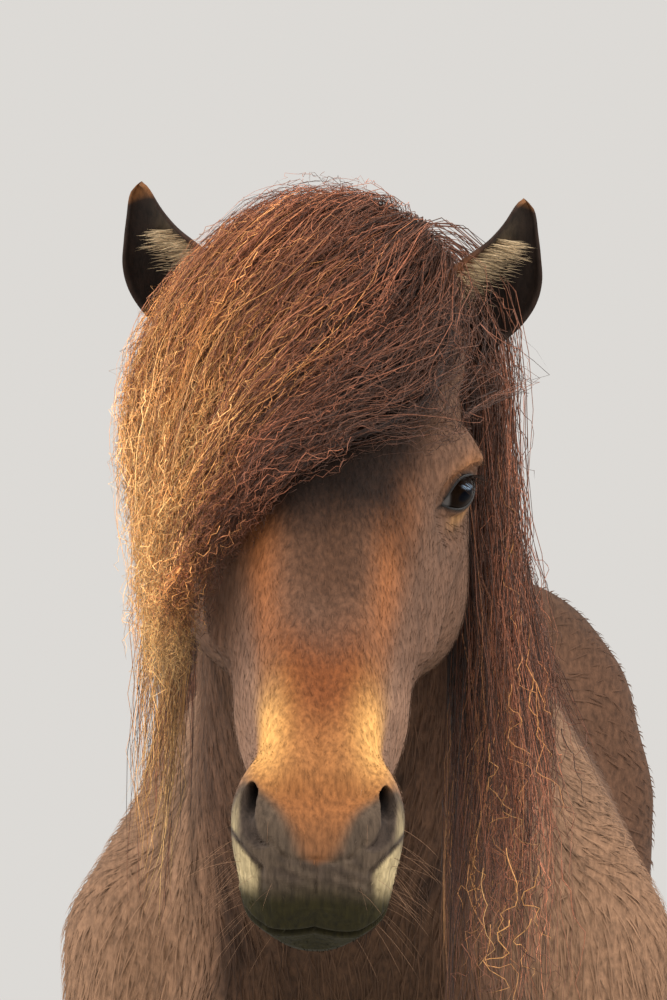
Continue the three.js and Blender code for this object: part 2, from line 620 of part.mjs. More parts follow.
// Ears: cupped leaves, open forwards and outwards.
const EAR = { root: vec(8, -61.5, 151.2), tip: vec(13.5, -65.4, 161.3), wall: 0.38, bow: 0.9 };
const EAR_ROWS = [
  [1.9, 1.9, 125],
  [2.5, 2.3, 118],
  [3.1, 2.3, 108],
  [3.3, 2, 100],
  [3, 1.6, 95],
  [2.3, 1.1, 90],
  [1.3, 0.75, 88],
  [0.5, 0.5, 88],
];
function ear(side, room = 0) {
  const axis = EAR.tip.clone().sub(EAR.root);
  const length = axis.length();
  axis.normalize();
  const open = vec(0.62, -0.78, 0);
  open.addScaledVector(axis, -open.dot(axis)).normalize();
  const across = axis.clone().cross(open);
  const [wide, deep, sweep] = columns(EAR_ROWS);
  const count = 10;
  const rings = range(count).map((i) => {
    const t = i / (count - 1);
    const s = t * (EAR_ROWS.length - 1);
    const bow = Math.sin(t * Math.PI) * EAR.bow;
    const centre = EAR.root.clone().addScaledVector(axis, length * t);
    centre.add(vec(bow, 0, 0)).addScaledVector(open, bow * 0.4 - t * t * 0.6);
    const arc = (wall, j) => {
      const a = THREE.MathUtils.degToRad(mix(-sweep(s), sweep(s), j / 8));
      const a2 = a * (1 - (wall * 0.12) / EAR.wall);
      return centre
        .clone()
        .addScaledVector(across, Math.sin(a2) * Math.max(wide(s) + room - wall, 0.08))
        .addScaledVector(open, -Math.cos(a2) * Math.max(deep(s) + room - wall, 0.06));
    };
    const wall = Math.min(EAR.wall + 2 * room, wide(s) * 0.45);
    return [...range(9).map((j) => arc(0, j)), ...range(9).map((j) => arc(wall, 8 - j))];
  });
  const placed = (p) => (side > 0 ? p : mirrored(p));
  const tip = middle(rings[count - 1]).addScaledVector(axis, 0.5);
  const root = middle(rings[0]);
  root.addScaledVector(open, -deep(0) + EAR.wall / 2 - root.clone().sub(EAR.root).dot(open));
  return ringSolid(rings.map((ring) => ring.map(placed)), placed(root), placed(tip));
}

// Hair

// The way straight out of the flesh at a point.
function outward(p) {
  const h = 0.3;
  const slope = (x, y, z) => flesh(p.x + x, p.y + y, p.z + z) - flesh(p.x - x, p.y - y, p.z - z);
  return vec(slope(h, 0, 0), slope(0, h, 0), slope(0, 0, h)).normalize();
}

// A point moved straight out until it lies at least this far from the flesh.
function keptOff(p, distance) {
  for (const _ of range(3)) {
    const short = distance - flesh(p.x, p.y, p.z);
    if (short > 0) p.addScaledVector(outward(p), short);
  }
  return p;
}

// A lock of hair: a flat four-sided sweep along a strand, tapered to its tip. It is as broad as the
// room up to the next lock's strand, or a little broader at its root.
function lock(strand, next, thick, broad) {
  const last = strand.length - 1;
  const rings = strand.slice(0, last).map((p, k) => {
    const t = k / last;
    const along = strand[k + 1].clone().sub(strand[Math.max(k - 1, 0)]).normalize();
    const across = next[k].clone().sub(p);
    across.addScaledVector(along, -across.dot(along));
    const room = Math.max(across.length(), 1) * mix(1.25, 1, ease(t * 3)) * broad;
    across.normalize().multiplyScalar((room / 2) * (1 - 0.7 * t * t));
    const out = along.cross(across).normalize().multiplyScalar((thick / 2) * (1 - 0.5 * t));
    return [across, out, across.clone().negate(), out.clone().negate()].map((q) => q.add(p));
  });
  return ringSolid(rings, strand[0], strand[last]);
}

// Locks set side by side in layers: every layer has its own count, lift and length, and the locks
// of one lie over the seams of the one below.
function locks(layers, thick, draw, strandAt) {
  return layers.flatMap(({ count, shift = 0, ...layer }) =>
    range(count).map((i) => {
      const at = (i + 0.5 + shift + draw(-0.15, 0.15)) / count;
      const wave = { size: draw(0.5, 1), phase: draw(0, 2 * Math.PI) };
      const share = draw(0.84, 1);
      const make = (place) => strandAt(place, { ...layer, wave, share });
      return lock(make(at), make(at + 1 / count), thick, draw(0.92, 1.12));
    }),
  );
}

const united = (solids) => solids.reduce((sum, solid) => sum.add(solid));

// The mane grows along the crest, from the poll to the withers, and falls down both sides.
const MANE = { first: -55.4, last: -11, root: 1.4, steps: 5, march: 5, thick: 0.8 };
const MANE_LAYERS = {
  left: [{ count: 8, lift: 1.2, length: 47 }, { count: 6, lift: 3, length: 45 }],
  right: [{ count: 7, lift: 1.2, length: 41 }, { count: 6, lift: 2.8, length: 38 }],
};
function maneStrand(side, place, { lift, length, wave, share }) {
  const y = mix(MANE.first, MANE.last, place);
  const inside = vec(0, y, mix(150, 130, place));
  const up = reach(flesh, inside, vec(0, 0, 1), 40);
  const p = vec(side * 0.5, y, inside.z + up - MANE.root);
  const heading = vec(side * 0.6, 0, 0.8);
  const marches = MANE.steps * MANE.march;
  const strand = [p.clone()];
  for (const k of range(marches)) {
    const t = (k + 1) / marches;
    const drift = 0.12 * (1 - place) + wave.size * 0.3 * Math.cos(wave.phase + t * 9);
    heading.lerp(vec(side * 0.06, drift, -1).normalize(), 0.28).normalize();
    p.addScaledVector(heading, (length * share) / marches);
    keptOff(p, mix(-MANE.root, lift, clamp01(k / 4)));
    if ((k + 1) % MANE.march === 0) strand.push(p.clone());
  }
  return strand;
}

// The forelock springs from the poll, is swept across the forehead to the horse's right and falls
// there. Three strands are given: the outermost, a middle one and the innermost, low on the brow.
const FORELOCK_OUTER = columns([
  [-2.4, -59, 157.6], [-3.2, -61.6, 160.8], [-6.2, -65, 160.2], [-10.2, -68, 156.6],
  [-13.8, -69, 150.4], [-15.2, -70, 143], [-14.6, -71, 134.5], [-13, -72, 126],
]);
const FORELOCK_MIDDLE = columns([
  [2.4, -59.4, 157.8], [2.2, -64, 161.4], [-0.6, -69.5, 159.4], [-5, -72.5, 155],
  [-9.6, -73.5, 149], [-12.6, -74, 142.4], [-13.2, -74.5, 135], [-12, -74.5, 128],
]);
const FORELOCK_INNER = columns([
  [5.6, -60, 156.8], [7.2, -65.4, 156.4], [7.4, -70, 151], [4.5, -73.5, 146.5],
  [-0.5, -76, 143.5], [-5, -77, 140.5], [-8.5, -77, 136], [-10.5, -76.5, 131],
]);
const FORELOCK = { root: 1.4, steps: 6, thick: 0.8 };
const FORELOCK_LAYERS = [
  { count: 7, lift: -1.4, whole: 1 },
  { count: 6, lift: -0.4, whole: 0.95 },
  { count: 5, lift: 0.6, whole: 0.85 },
];
function forelockStrand(place, { lift, whole, wave, share }) {
  const rows = 7 * whole * share;
  return range(FORELOCK.steps + 1).map((k) => {
    const t = k / FORELOCK.steps;
    const inward = place + 0.05 * wave.size * t * Math.sin(wave.phase + t * 7);
    const outer = 2 * (inward - 0.5) * (inward - 1);
    const middle = 4 * inward * (1 - inward);
    const inner = 2 * inward * (inward - 0.5);
    const [x, y, z] = range(3).map(
      (i) =>
        outer * FORELOCK_OUTER[i](t * rows) +
        middle * FORELOCK_MIDDLE[i](t * rows) +
        inner * FORELOCK_INNER[i](t * rows),
    );
    const p = vec(x, y, z);
    p.addScaledVector(outward(p), mix(0, lift, ease(t * 4)));
    return keptOff(p, mix(-FORELOCK.root, lift + 2, ease(t * 5)));
  });
}

// The tail: a fleshy dock, and hair that falls from it nearly to the ground. The dock's hair is so
// dense that a core goes on below it, to half the tail's length.
const DOCK = columns([
  [112, 120.6, 4.4], [118, 119.8, 4.2], [121.6, 115.4, 3.8],
  [123, 106, 3.8], [123.4, 90, 4.2], [123.4, 74, 2.4],
]);
const TAIL = { tip: 23, y: 123.4, steps: 7, flat: 0.68, thick: 1.4 };
const TAIL_HALF = [[121, 3.2], [114, 5], [102, 7], [86, 8.6], [66, 9], [44, 7.6], [22, 4]];
const tailHalf = curveThrough(TAIL_HALF.map(([z]) => -z), TAIL_HALF.map(([, half]) => half));
const TAIL_LAYERS = [
  { count: 9, spread: 0.78, root: 2 },
  { count: 9, spread: 1, root: 1.1, shift: 0.5 },
];
function tailStrand(place, { spread, root, wave, share }) {
  const [dockY, top] = DOCK.map((f) => f(root));
  const end = mix(top, TAIL.tip, share);
  return range(TAIL.steps + 1).map((k) => {
    const t = k / TAIL.steps;
    const z = mix(top, end, t ** 1.3);
    const angle = place * 2 * Math.PI + 0.25 * wave.size * t * Math.sin(wave.phase + t * 6);
    const out = mix(1.5, tailHalf(-z) * spread * (1 - 0.3 * t * t), ease(t * 3.5 + 0.05));
    const y = mix(dockY, TAIL.y, ease(t * 3)) + Math.cos(angle) * out * TAIL.flat;
    return vec(Math.sin(angle) * out, Math.max(y, TAIL.y - 5.8), z);
  });
}

const group = new THREE.Group();
const coat = new THREE.MeshStandardMaterial({ color: 0x4a3124, roughness: 0.85, metalness: 0 });
const longHair = new THREE.MeshStandardMaterial({ color: 0x33211a, roughness: 0.75, metalness: 0 });
const horn = new THREE.MeshStandardMaterial({ color: 0x2f2a26, roughness: 0.5, metalness: 0 });
const cornea = new THREE.MeshStandardMaterial({ color: 0x140d0a, roughness: 0.1, metalness: 0 });
function addNode(name, solid, paint) {
  const mesh = solid.getMesh();
  const array = mesh.vertProperties.slice();
  for (const i of range(array.length / 3)) {
    const p = posed(vec(array[3 * i], array[3 * i + 1], array[3 * i + 2]).divideScalar(UNIT));
    array.set([p.x * UNIT, p.y * UNIT, p.z * UNIT], 3 * i);
  }
  const geometry = new THREE.BufferGeometry();
  geometry.setAttribute("position", new THREE.BufferAttribute(array, 3));
  geometry.setIndex(new THREE.BufferAttribute(mesh.triVerts, 1));
  geometry.computeVertexNormals();
  const node = new THREE.Mesh(geometry, paint);
  node.name = name;
  group.add(node);
}

const SIDES = { left: 1, right: -1 };

const grown = (x, y, z) => flesh(x, y, z) - 1.5 * GAP;
const headLines = [slid(HEAD_LINES[0], -GAP), ...HEAD_LINES.slice(1)];
const headRoom = bodyPart(headLines, HEAD_RINGS, HEAD_SIDES, grown, true);
const torsoRoom = torsoSolid(grown);
const earRoom = Object.values(SIDES).map((side) => ear(side, 2 * GAP));

// What lies in front of the cut between head and neck, and what lies behind it.
const [cutTopY, cutTopZ, cutBottomY, cutBottomZ] = HEAD_LINES[0];
const lean = (cutTopY - cutBottomY) / (cutTopZ - cutBottomZ);
const cutAt = (z) => cutTopY + (z - cutTopZ) * lean;
const beforeCut = slab([[cutAt(90) + GAP, 90], [cutAt(190) + GAP, 190], [-140, 190], [-140, 90]], -60, 60);
const behindCut = slab([[cutAt(90) - GAP, 90], [20, 90], [20, 190], [cutAt(190) - GAP, 190]], -60, 60);

function headSolid() {
  let solid = bodyPart(headLines, HEAD_RINGS, HEAD_SIDES, flesh, true);
  for (const side of Object.values(SIDES)) {
    solid = solid.add(sided(ball(EYE.radius + LID.thickness, 18, 12), side));
    solid = solid.subtract(sided(ball(EYE.radius + GAP, EYE_WIDE, EYE_HIGH), side));
    solid = solid.subtract(sided(lidOpening(), side));
    solid = solid.subtract(sided(nostrilCutter(), side));
  }
  return solid.subtract(mouthCutter());
}

const cleared = (solid, others) => others.reduce((rest, other) => rest.subtract(other), solid);

function forelock() {
  const hair = united(locks(FORELOCK_LAYERS, FORELOCK.thick, draws(11), forelockStrand));
  const eyes = Object.values(SIDES).map((side) => sided(ball(EYE.radius + GAP, EYE_WIDE, EYE_HIGH), side));
  return cleared(hair, [...eyes, ...earRoom, behindCut]);
}

function neckSolid() {
  const body = bodyPart(NECK_LINES, NECK_RINGS, NECK_SIDES, flesh, false);
  const draw = draws(5);
  const hair = Object.entries(SIDES).flatMap(([name, side]) =>
    locks(MANE_LAYERS[name], MANE.thick, draw, (place, layer) => maneStrand(side, place, layer)),
  );
  return largest(body.add(cleared(united(hair), [headRoom, torsoRoom, beforeCut, ...earRoom])));
}

function tail() {
  const [dockRings, dockSides] = [9, 12];
  const rings = range(dockRings).map((i) => {
    const [y, z, r] = DOCK.map((f) => f((i / (dockRings - 1)) * 5));
    return range(dockSides).map((j) => {
      const a = (j / dockSides) * Math.PI * 2;
      return vec(Math.sin(a) * r, y + Math.cos(a) * r, z);
    });
  });
  const dock = ringSolid(rings, middle(rings[0]), middle(rings[dockRings - 1]));
  const hair = united(locks(TAIL_LAYERS, TAIL.thick, draws(7), tailStrand));
  return largest(cleared(dock.add(hair), [torsoRoom]));
}

addNode("head", largest(headSolid().add(forelock())), coat);
for (const [name, side] of Object.entries(SIDES)) {
  addNode(`ear_${name}`, largest(ear(side).subtract(headRoom)), coat);
  addNode(`eye_${name}`, sided(ball(EYE.radius, EYE_WIDE, EYE_HIGH), side), cornea);
}
addNode("neck", neckSolid(), coat);
addNode("torso", torso(), coat);
addNode("tail", tail(), longHair);
for (const [name, side] of Object.entries(SIDES)) {
  addNode(`foreleg_${name}`, leg(FORE_LINE, FORE_RINGS, LEG_SIDES, side), coat);
  addNode(`hindleg_${name}`, leg(HIND_LINE, HIND_RINGS, LEG_SIDES, side), coat);
  addNode(`hoof_fore_${name}`, hoof(FORE_LINE, side), horn);
  addNode(`hoof_hind_${name}`, hoof(HIND_LINE, side), horn);
}

// The origin is on the ground, under the middle of the whole horse.
const bounds = new THREE.Box3().setFromObject(group, true);
const middleOf = bounds.getCenter(new THREE.Vector3());
group.position.set(-middleOf.x, -middleOf.y, 0);

export default group;
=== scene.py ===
# %% [markdown]
# # An Icelandic horse, life size
# This lesson dresses a plain solid horse: one skin over all its flesh, eyes, horn, and then the hair,
# strand by strand. We start from the solids, because they fix where everything is and how large.

# %% Load the solids
import math

import bpy
import numpy as np
from mathutils import Matrix, Vector


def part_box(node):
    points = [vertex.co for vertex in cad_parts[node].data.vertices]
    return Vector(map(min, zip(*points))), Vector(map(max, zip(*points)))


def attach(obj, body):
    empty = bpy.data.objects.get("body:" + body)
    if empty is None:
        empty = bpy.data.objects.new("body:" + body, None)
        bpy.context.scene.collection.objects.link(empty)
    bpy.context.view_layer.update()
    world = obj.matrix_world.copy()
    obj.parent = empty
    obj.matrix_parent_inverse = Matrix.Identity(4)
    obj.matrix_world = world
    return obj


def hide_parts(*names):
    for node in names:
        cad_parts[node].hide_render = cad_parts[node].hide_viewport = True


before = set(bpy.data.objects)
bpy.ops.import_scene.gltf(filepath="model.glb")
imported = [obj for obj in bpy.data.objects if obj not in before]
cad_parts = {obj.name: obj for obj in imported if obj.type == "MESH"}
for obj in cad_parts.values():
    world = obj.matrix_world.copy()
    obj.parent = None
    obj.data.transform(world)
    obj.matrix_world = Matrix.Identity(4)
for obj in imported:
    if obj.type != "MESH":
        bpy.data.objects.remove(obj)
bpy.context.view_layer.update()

# %% [markdown]
# ## Measures
# A horse is easiest to think of in centimetres, standing square and the same on both sides. So every
# shape below is made that way, and a last step turns it into metres, in its pose. These helpers blend
# numbers, draw smooth curves through tables, and turn directions to length one.

# %% Small helpers
CM = 0.01
X, Y, Z = np.eye(3)


def mix(a, b, t):
    return a + (b - a) * t


def ease(t):
    t = np.clip(t, 0, 1)
    return t * t * (3 - 2 * t)


def bump(x, middle, width):
    """One at the middle, fading to nothing about two widths away."""
    return np.exp(-(((x - middle) / width) ** 2))


def unit(v):
    return v / np.maximum(np.linalg.norm(v, axis=-1, keepdims=True), 1e-9)


def dot(a, b):
    return np.sum(a * b, axis=-1)


WAVES, THEIR_SUM = 6, 3.5  # how many waves make the unrest below, and what their sum is divided by


def waver(points, scale, seed=0):
    """A slow, even unrest, mostly between -1 and 1, to keep the patches' edges from looking drawn."""
    rng = np.random.default_rng(seed)
    total = 0
    for _ in range(WAVES):
        way = rng.normal(0, 1, 3) / scale
        total = total + np.sin(points @ way + rng.uniform(0, 2 * math.pi))
    return total / THEIR_SUM


def curve_through(stations, values):
    """A smooth curve through values, or rows of values, at uneven stations."""
    s, v = np.asarray(stations, float), np.asarray(values, float)
    steps = np.diff(s) if v.ndim == 1 else np.diff(s)[:, None]
    ends = [(v[1] - v[0]) / steps[0]], [(v[-1] - v[-2]) / steps[-1]]
    inner = (v[2:] - v[:-2]) / (steps[1:] + steps[:-1])
    slope = np.concatenate([ends[0], inner, ends[1]])

    def at(q):
        q = np.clip(q, s[0], s[-1])
        i = np.clip(np.searchsorted(s, q, side="right") - 1, 0, len(s) - 2)
        h = s[i + 1] - s[i]
        t = (q - s[i]) / h
        if v.ndim > 1:
            h, t = h[..., None], t[..., None]
        along = v[i] * (1 + 2 * t) * (1 - t) ** 2 + v[i + 1] * t * t * (3 - 2 * t)
        return along + h * (slope[i] * t * (1 - t) ** 2 - slope[i + 1] * t * t * (1 - t))

    return at


def columns(rows):
    """The same, against the table's own row numbers."""
    return curve_through(np.arange(len(rows)), rows)


def lattice(*axes):
    """Every combination of the axes' numbers, one row for each axis."""
    return [axis.ravel() for axis in np.meshgrid(*axes, indexing="ij")]


# %% [markdown]
# ## Flesh as a field
# Muscle has no edges: one mass runs into the next. A field does that well. It is a function that is
# negative inside the body, zero on its surface and positive outside, and two fields joined by `fuse`
# keep a soft fillet between them, of a size that we choose. There are three kinds of piece: a mass of
# muscle, a tapered rod of bone, and a hide stretched over sections.

# %% Pieces of the field
def fuse(a, b, size):
    return np.minimum(a, b) - np.maximum(size - np.abs(a - b), 0) ** 2 / (4 * size)


def carve(a, b, size):
    return -fuse(-a, b, size)


def mass(centre, radii, lean=0):
    c, s = math.cos(math.radians(lean)), math.sin(math.radians(lean))
    rx, ry, rz = radii

    def field(x, y, z):
        dx, y, z = x - centre[0], y - centre[1], z - centre[2]
        dy, dz = y * c + z * s, z * c - y * s
        k = np.sqrt((dx / rx) ** 2 + (dy / ry) ** 2 + (dz / rz) ** 2) + 1e-6
        k2 = np.sqrt((dx / rx**2) ** 2 + (dy / ry**2) ** 2 + (dz / rz**2) ** 2) + 1e-6 / max(radii)
        return k * (k - 1) / k2

    field.clay = [("ball", centre, radii, lean)]
    return field


def rod(a, b, ra, rb):
    axis = np.subtract(b, a)
    length2 = float(axis @ axis)

    def field(x, y, z):
        dx, dy, dz = x - a[0], y - a[1], z - a[2]
        t = np.clip((dx * axis[0] + dy * axis[1] + dz * axis[2]) / length2, 0, 1)
        gap = (dx - axis[0] * t) ** 2 + (dy - axis[1] * t) ** 2 + (dz - axis[2] * t) ** 2
        return np.sqrt(gap) - mix(ra, rb, t)

    field.clay = [("rod", a, b, ra, rb)]
    return field


def hide(rows):
    """Rows of station, top, bottom, level of the widest point, half width, squareness above, below."""
    table = curve_through([r[0] for r in rows], [r[1:] for r in rows])
    first, last = rows[0][0], rows[-1][0]

    def field(x, s, h):
        top, bottom, level, half, above, below = np.moveaxis(table(s), -1, 0)
        dh = h - level
        tall = np.where(dh > 0, top - level, level - bottom)
        n = np.where(dh > 0, above, below)
        g = (np.abs(x / half) ** n + np.abs(dh / tall) ** n) ** (1 / n)
        radial = np.where(g < 1e-3, -np.minimum(half, tall), np.hypot(x, dh) * (1 - 1 / np.maximum(g, 1e-3)))
        past = np.maximum(first - s, s - last)
        return np.where(past > 0, np.hypot(np.maximum(radial, 0), np.maximum(past, 0)), radial)

    field.clay = [("hide", rows)]
    return field


def joined(pieces, size):
    def field(x, y, z):
        total = pieces[0](x, y, z)
        for piece in pieces[1:]:
            total = fuse(total, piece(x, y, z), size)
        return total

    field.clay = [lump for piece in pieces for lump in piece.clay]
    return field


# %% [markdown]
# ## The trunk
# The barrel is a hide over sections from chest to croup; shoulder, breast, haunch and buttock are
# masses and rods laid on it. Here x runs to the side, y to the back and z up.

# %% Trunk
barrel = hide([
    (-30, 118, 90, 103, 9, 2, 2),
    (-20, 131, 80, 102, 15.5, 1.9, 2.1),
    (-6, 136.2, 75, 100, 19, 1.65, 2.2),
    (7, 137.2, 72, 97, 20.6, 1.5, 2.2),
    (24, 133.4, 69.5, 95, 23.4, 1.6, 2.2),
    (44, 130.6, 68.5, 95, 24.8, 1.75, 2.1),
    (62, 130.6, 70.5, 96, 24.4, 1.8, 2.1),
    (76, 132.2, 76.5, 101, 21.8, 1.9, 2.1),
    (90, 133.4, 84, 105, 22, 2.1, 2.2),
    (101, 130.2, 87, 107, 21.2, 2.1, 2.2),
    (110, 125, 90, 107, 17, 2.1, 2.2),
    (117, 117, 96, 106, 9, 2, 2),
])
trunk = joined([
    barrel,
    rod((0, -8, 133), (0, 16, 131.6), 3.6, 4),  # withers
    rod((8.4, 2, 125), (16.4, -18, 106), 5, 7.4),  # shoulder blade
    mass((15.4, -20.6, 100), (6.6, 7, 8.4)),  # point of the shoulder
    mass((15.4, -1, 94), (7.2, 11.5, 14), -18),  # triceps
    rod((16, -20, 97), (14.6, 0, 79), 6.6, 6.2),  # upper arm
    mass((7.2, -26.5, 93), (8, 6.4, 11), 12),  # breast muscle
    mass((0, -12, 82), (11, 14, 9)),  # chest between the forelegs
    mass((9.4, 90, 119.5), (12.5, 17, 13)),  # croup
    mass((17.4, 84, 119.5), (4.6, 6.4, 5.4)),  # point of the hip
    mass((15.6, 97, 103), (8.8, 16, 19), 14),  # thigh
    rod((8.2, 108.6, 114.5), (10.6, 111.2, 101), 7.6, 7.6),  # buttock, upper
    rod((10.6, 111.2, 101), (12.8, 106.5, 82), 7.6, 6),  # buttock, lower
    rod((16.2, 86, 111), (16.4, 80.5, 90), 8, 6.2),  # front of the thigh
    mass((15.8, 79.5, 86), (5.2, 5.6, 6.5)),  # stifle
    rod((18.6, 72, 91), (17.2, 80, 85), 3.6, 4.2),  # fold of the flank
], 4.5)

# %% [markdown]
# ## Legs
# Below the knee and hock a leg is bone and tendon under thin skin, so the rods are slim and the
# fillets small.

# %% Legs
fore = joined([
    rod((14.4, 2, 84), (13, -1.2, 49), 7.4, 4.5),  # forearm
    mass((14, -4.2, 71), (5, 4.6, 11)),  # extensors, in front
    mass((13.8, 4.2, 72), (4.8, 4.6, 10.5)),  # flexors, behind
    mass((12.9, -1.9, 45), (4.8, 4.6, 5.8)),  # knee
    rod((12.8, 2.4, 48.4), (12.8, 2.6, 44.5), 2, 1.9),  # bone at the back of the knee
    rod((12.7, -2, 41), (12.5, -1.5, 20), 3.2, 3.1),  # cannon bone
    rod((12.7, 1.7, 43), (12.5, 1.9, 20), 2.2, 2.3),  # tendons
    mass((12.5, -0.8, 17.6), (4.1, 4.3, 4.2)),  # fetlock
    mass((12.5, 1.6, 14.6), (2.8, 2.6, 3.4), -10),  # hair behind the fetlock
    rod((12.5, -2, 16), (12.5, -7.2, 8.4), 3.3, 3.8),  # pastern
    mass((12.5, -7.6, 6.4), (5, 5.2, 2.4), -24),  # coronet
], 1.7)
hind = joined([
    mass((15.2, 96, 84), (8, 14.5, 9), -12),  # foot of the thigh
    rod((15.4, 87, 84), (12.9, 105.6, 59), 7.8, 4.3),  # shin
    rod((14, 99, 86), (12.6, 110.4, 63), 7.6, 3.4),  # calf
    rod((12.6, 110.4, 64), (12.4, 114, 57.5), 2.9, 2.6),  # tendon above the hock
    rod((12.4, 113.8, 57.5), (12.4, 111.4, 46), 2.7, 2.5),  # heel bone
    mass((12.5, 108.4, 52), (4.5, 5.1, 7.2), 14),  # hock
    rod((12.5, 108.6, 47), (12.5, 107.8, 20), 3.4, 3.2),  # cannon bone
    rod((12.4, 111.8, 47), (12.4, 111.3, 20), 2.3, 2.3),  # tendons
    mass((12.4, 108.4, 17.8), (4.2, 4.4, 4.3)),  # fetlock
    mass((12.4, 110.8, 14.8), (2.8, 2.6, 3.4), -10),  # hair behind the fetlock
    rod((12.4, 107, 16), (12.4, 101.8, 8.4), 3.4, 3.8),  # pastern
    mass((12.4, 101.2, 6.4), (5, 5.1, 2.4), -24),  # coronet
], 2.4)

# %% [markdown]
# ## Neck and head
# Each has a frame of its own. On the neck, stations run along its axis. On the head, u runs down the
# face from the poll, v to the side, and w stands out from the face. All places on the head below are
# given in u, v and w, so the head could be carried higher or lower by one angle.

# %% Neck and head
NECK_BASE, NECK_RISE = (-12, 118), math.radians(34.3)
FACE_TOP, HEAD_PITCH = (-63.4, 159.5), math.radians(42)
neck_hide = hide([
    (-16, 19, -22, -4, 12, 1.7, 2),
    (0, 22.8, -26, -8, 14.6, 1.5, 2.1),
    (12, 22, -22.6, -6, 12.8, 1.45, 2.1),
    (25, 20.2, -18.4, -4, 11, 1.45, 2.1),
    (38, 17.6, -14.6, -2, 9.8, 1.55, 2.1),
    (50, 13.6, -11, 0, 8.8, 1.8, 2.1),
    (57, 9, -7, 1, 7, 2, 2),
])


def neck(x, y, z):
    dy, dz = y - NECK_BASE[0], z - NECK_BASE[1]
    c, s = math.cos(NECK_RISE), math.sin(NECK_RISE)
    return neck_hide(x, dz * s - dy * c, dy * s + dz * c)


def to_head(y, z):
    dy, dz = y - FACE_TOP[0], z - FACE_TOP[1]
    c, s = math.cos(HEAD_PITCH), math.sin(HEAD_PITCH)
    return -dy * s - dz * c, dz * s - dy * c


def from_head(u, v, w):
    c, s = math.cos(HEAD_PITCH), math.sin(HEAD_PITCH)
    return np.stack(np.broadcast_arrays(v, FACE_TOP[0] - u * s - w * c, FACE_TOP[1] - u * c + w * s), -1)


skull = hide([
    (-1, -3.4, -13, -7.5, 6, 2.2, 2),
    (4, -1.4, -18, -8, 7.2, 2.3, 2.1),
    (10, -0.3, -21, -9, 8.4, 2.5, 2.4),
    (16, 0, -22.2, -9.5, 8.9, 2.7, 2.6),
    (21, -0.1, -21.8, -10, 8.8, 2.5, 2.6),
    (27, -0.7, -19.4, -9.6, 7.7, 2.2, 2.2),
    (33, -1.4, -16.8, -9.2, 6.7, 2, 2),
    (38, -2, -15, -8.8, 5.9, 2, 2.1),
    (43, -2.5, -13.6, -8, 4.9, 2, 2.2),
    (48, -3.1, -13, -7.8, 4.6, 2.1, 2.3),
    (52, -4.6, -12.8, -8.4, 4.3, 2.1, 2.2),
    (54.4, -7.4, -11.6, -9.2, 2.6, 2, 2),
])
head_bones = joined([
    skull,
    mass((6, 7.5, -4.6), (3.4, 5.6, 3.6)),  # temple
    mass((7.4, 17.8, -5.6), (2.7, 3.8, 3.6)),  # orbit
    rod((6.2, 14.6, -2.6), (9.1, 17.8, -4.6), 1.6, 1.5),  # brow
    rod((7.9, 20.6, -9.4), (7.6, 7, -9.8), 1.4, 1.6),  # cheekbone arch
    rod((7.6, 21.5, -9.4), (6.3, 31, -9.4), 1.4, 1.1),  # facial crest
    mass((5.4, 16.8, -14), (4.5, 9, 7.6)),  # cheek
    mass((5.4, 20, -16.4), (4.3, 6.2, 4.6)),  # corner of the jaw
    rod((5, 10.5, -18.4), (4.8, 20, -19.8), 2.9, 2.4),  # jowl
    rod((4.2, 20, -20), (2.6, 42, -12.8), 2.1, 1.6),  # lower jaw
    rod((2.4, 14, -2.4), (1.7, 46, -4.2), 2.3, 1.7),  # nasal bones
    mass((3.9, 47.8, -6.4), (1.9, 3.9, 3.1), 8),  # nostril wing
    mass((2.2, 50.2, -7.2), (2.6, 3.1, 3.2)),  # between the nostrils
    mass((1.9, 52.6, -9), (2.7, 2.3, 2.4)),  # upper lip
    mass((0, 51, -12.1), (3.4, 3, 1.9)),  # lower lip and chin
], 1.6)
head_hollows = [
    mass((7.5, 12.6, -2), (1.2, 2, 1)),  # over the eye
    mass((7.2, 34.2, -11.2), (1.7, 2.7, 2.4)),  # in front of the facial crest
    mass((6.4, 42.6, -7.4), (1.1, 2.6, 2)),  # behind the nostril
]


def head(x, y, z):
    u, w = to_head(y, z)
    flesh_of_head = head_bones(x, u, w)
    for hollow in head_hollows:
        flesh_of_head = carve(flesh_of_head, hollow(x, u, w), 2.2)
    return flesh_of_head


# %% [markdown]
# ## One field for the whole animal
# The parts join with larger fillets. `settle` walks points along the field's slope until they lie at a
# wanted depth under the surface, which is how every mesh below is brought onto the body.

# %% The whole field
AT_ONCE = 150_000  # more points than this would fill the memory


def flesh(points):
    """The field at rows of points."""
    out = np.empty(len(points))
    for i in range(0, len(points), AT_ONCE):
        x, y, z = points[i : i + AT_ONCE].T
        x = np.abs(x)
        body = fuse(fuse(trunk(x, y, z), neck(x, y, z), 6), head(x, y, z), 3)
        out[i : i + AT_ONCE] = fuse(fuse(body, fore(x, y, z), 3.5), hind(x, y, z), 3.5)
    return out


def outward(points, reach=0.3):
    """The way straight out of the flesh."""
    slopes = [flesh(points + axis * reach) - flesh(points - axis * reach) for axis in (X, Y, Z)]
    return unit(np.stack(slopes, -1))


def settle(points, depth, rounds):
    """Points moved straight in or out until they lie this deep."""
    for _ in range(rounds):
        short = flesh(points) + depth
        points = points - outward(points) * np.clip(short, -1.5, 1.5)[:, None]
    return points


# %% [markdown]
# ## The pose
# The horse in the picture leans its poll a little to one side, its croup stands slightly off the line
# of sight, and no two feet are level. All of it is one warp of finished points. The eye's place in the
# solids then tells where the ground's origin lies.

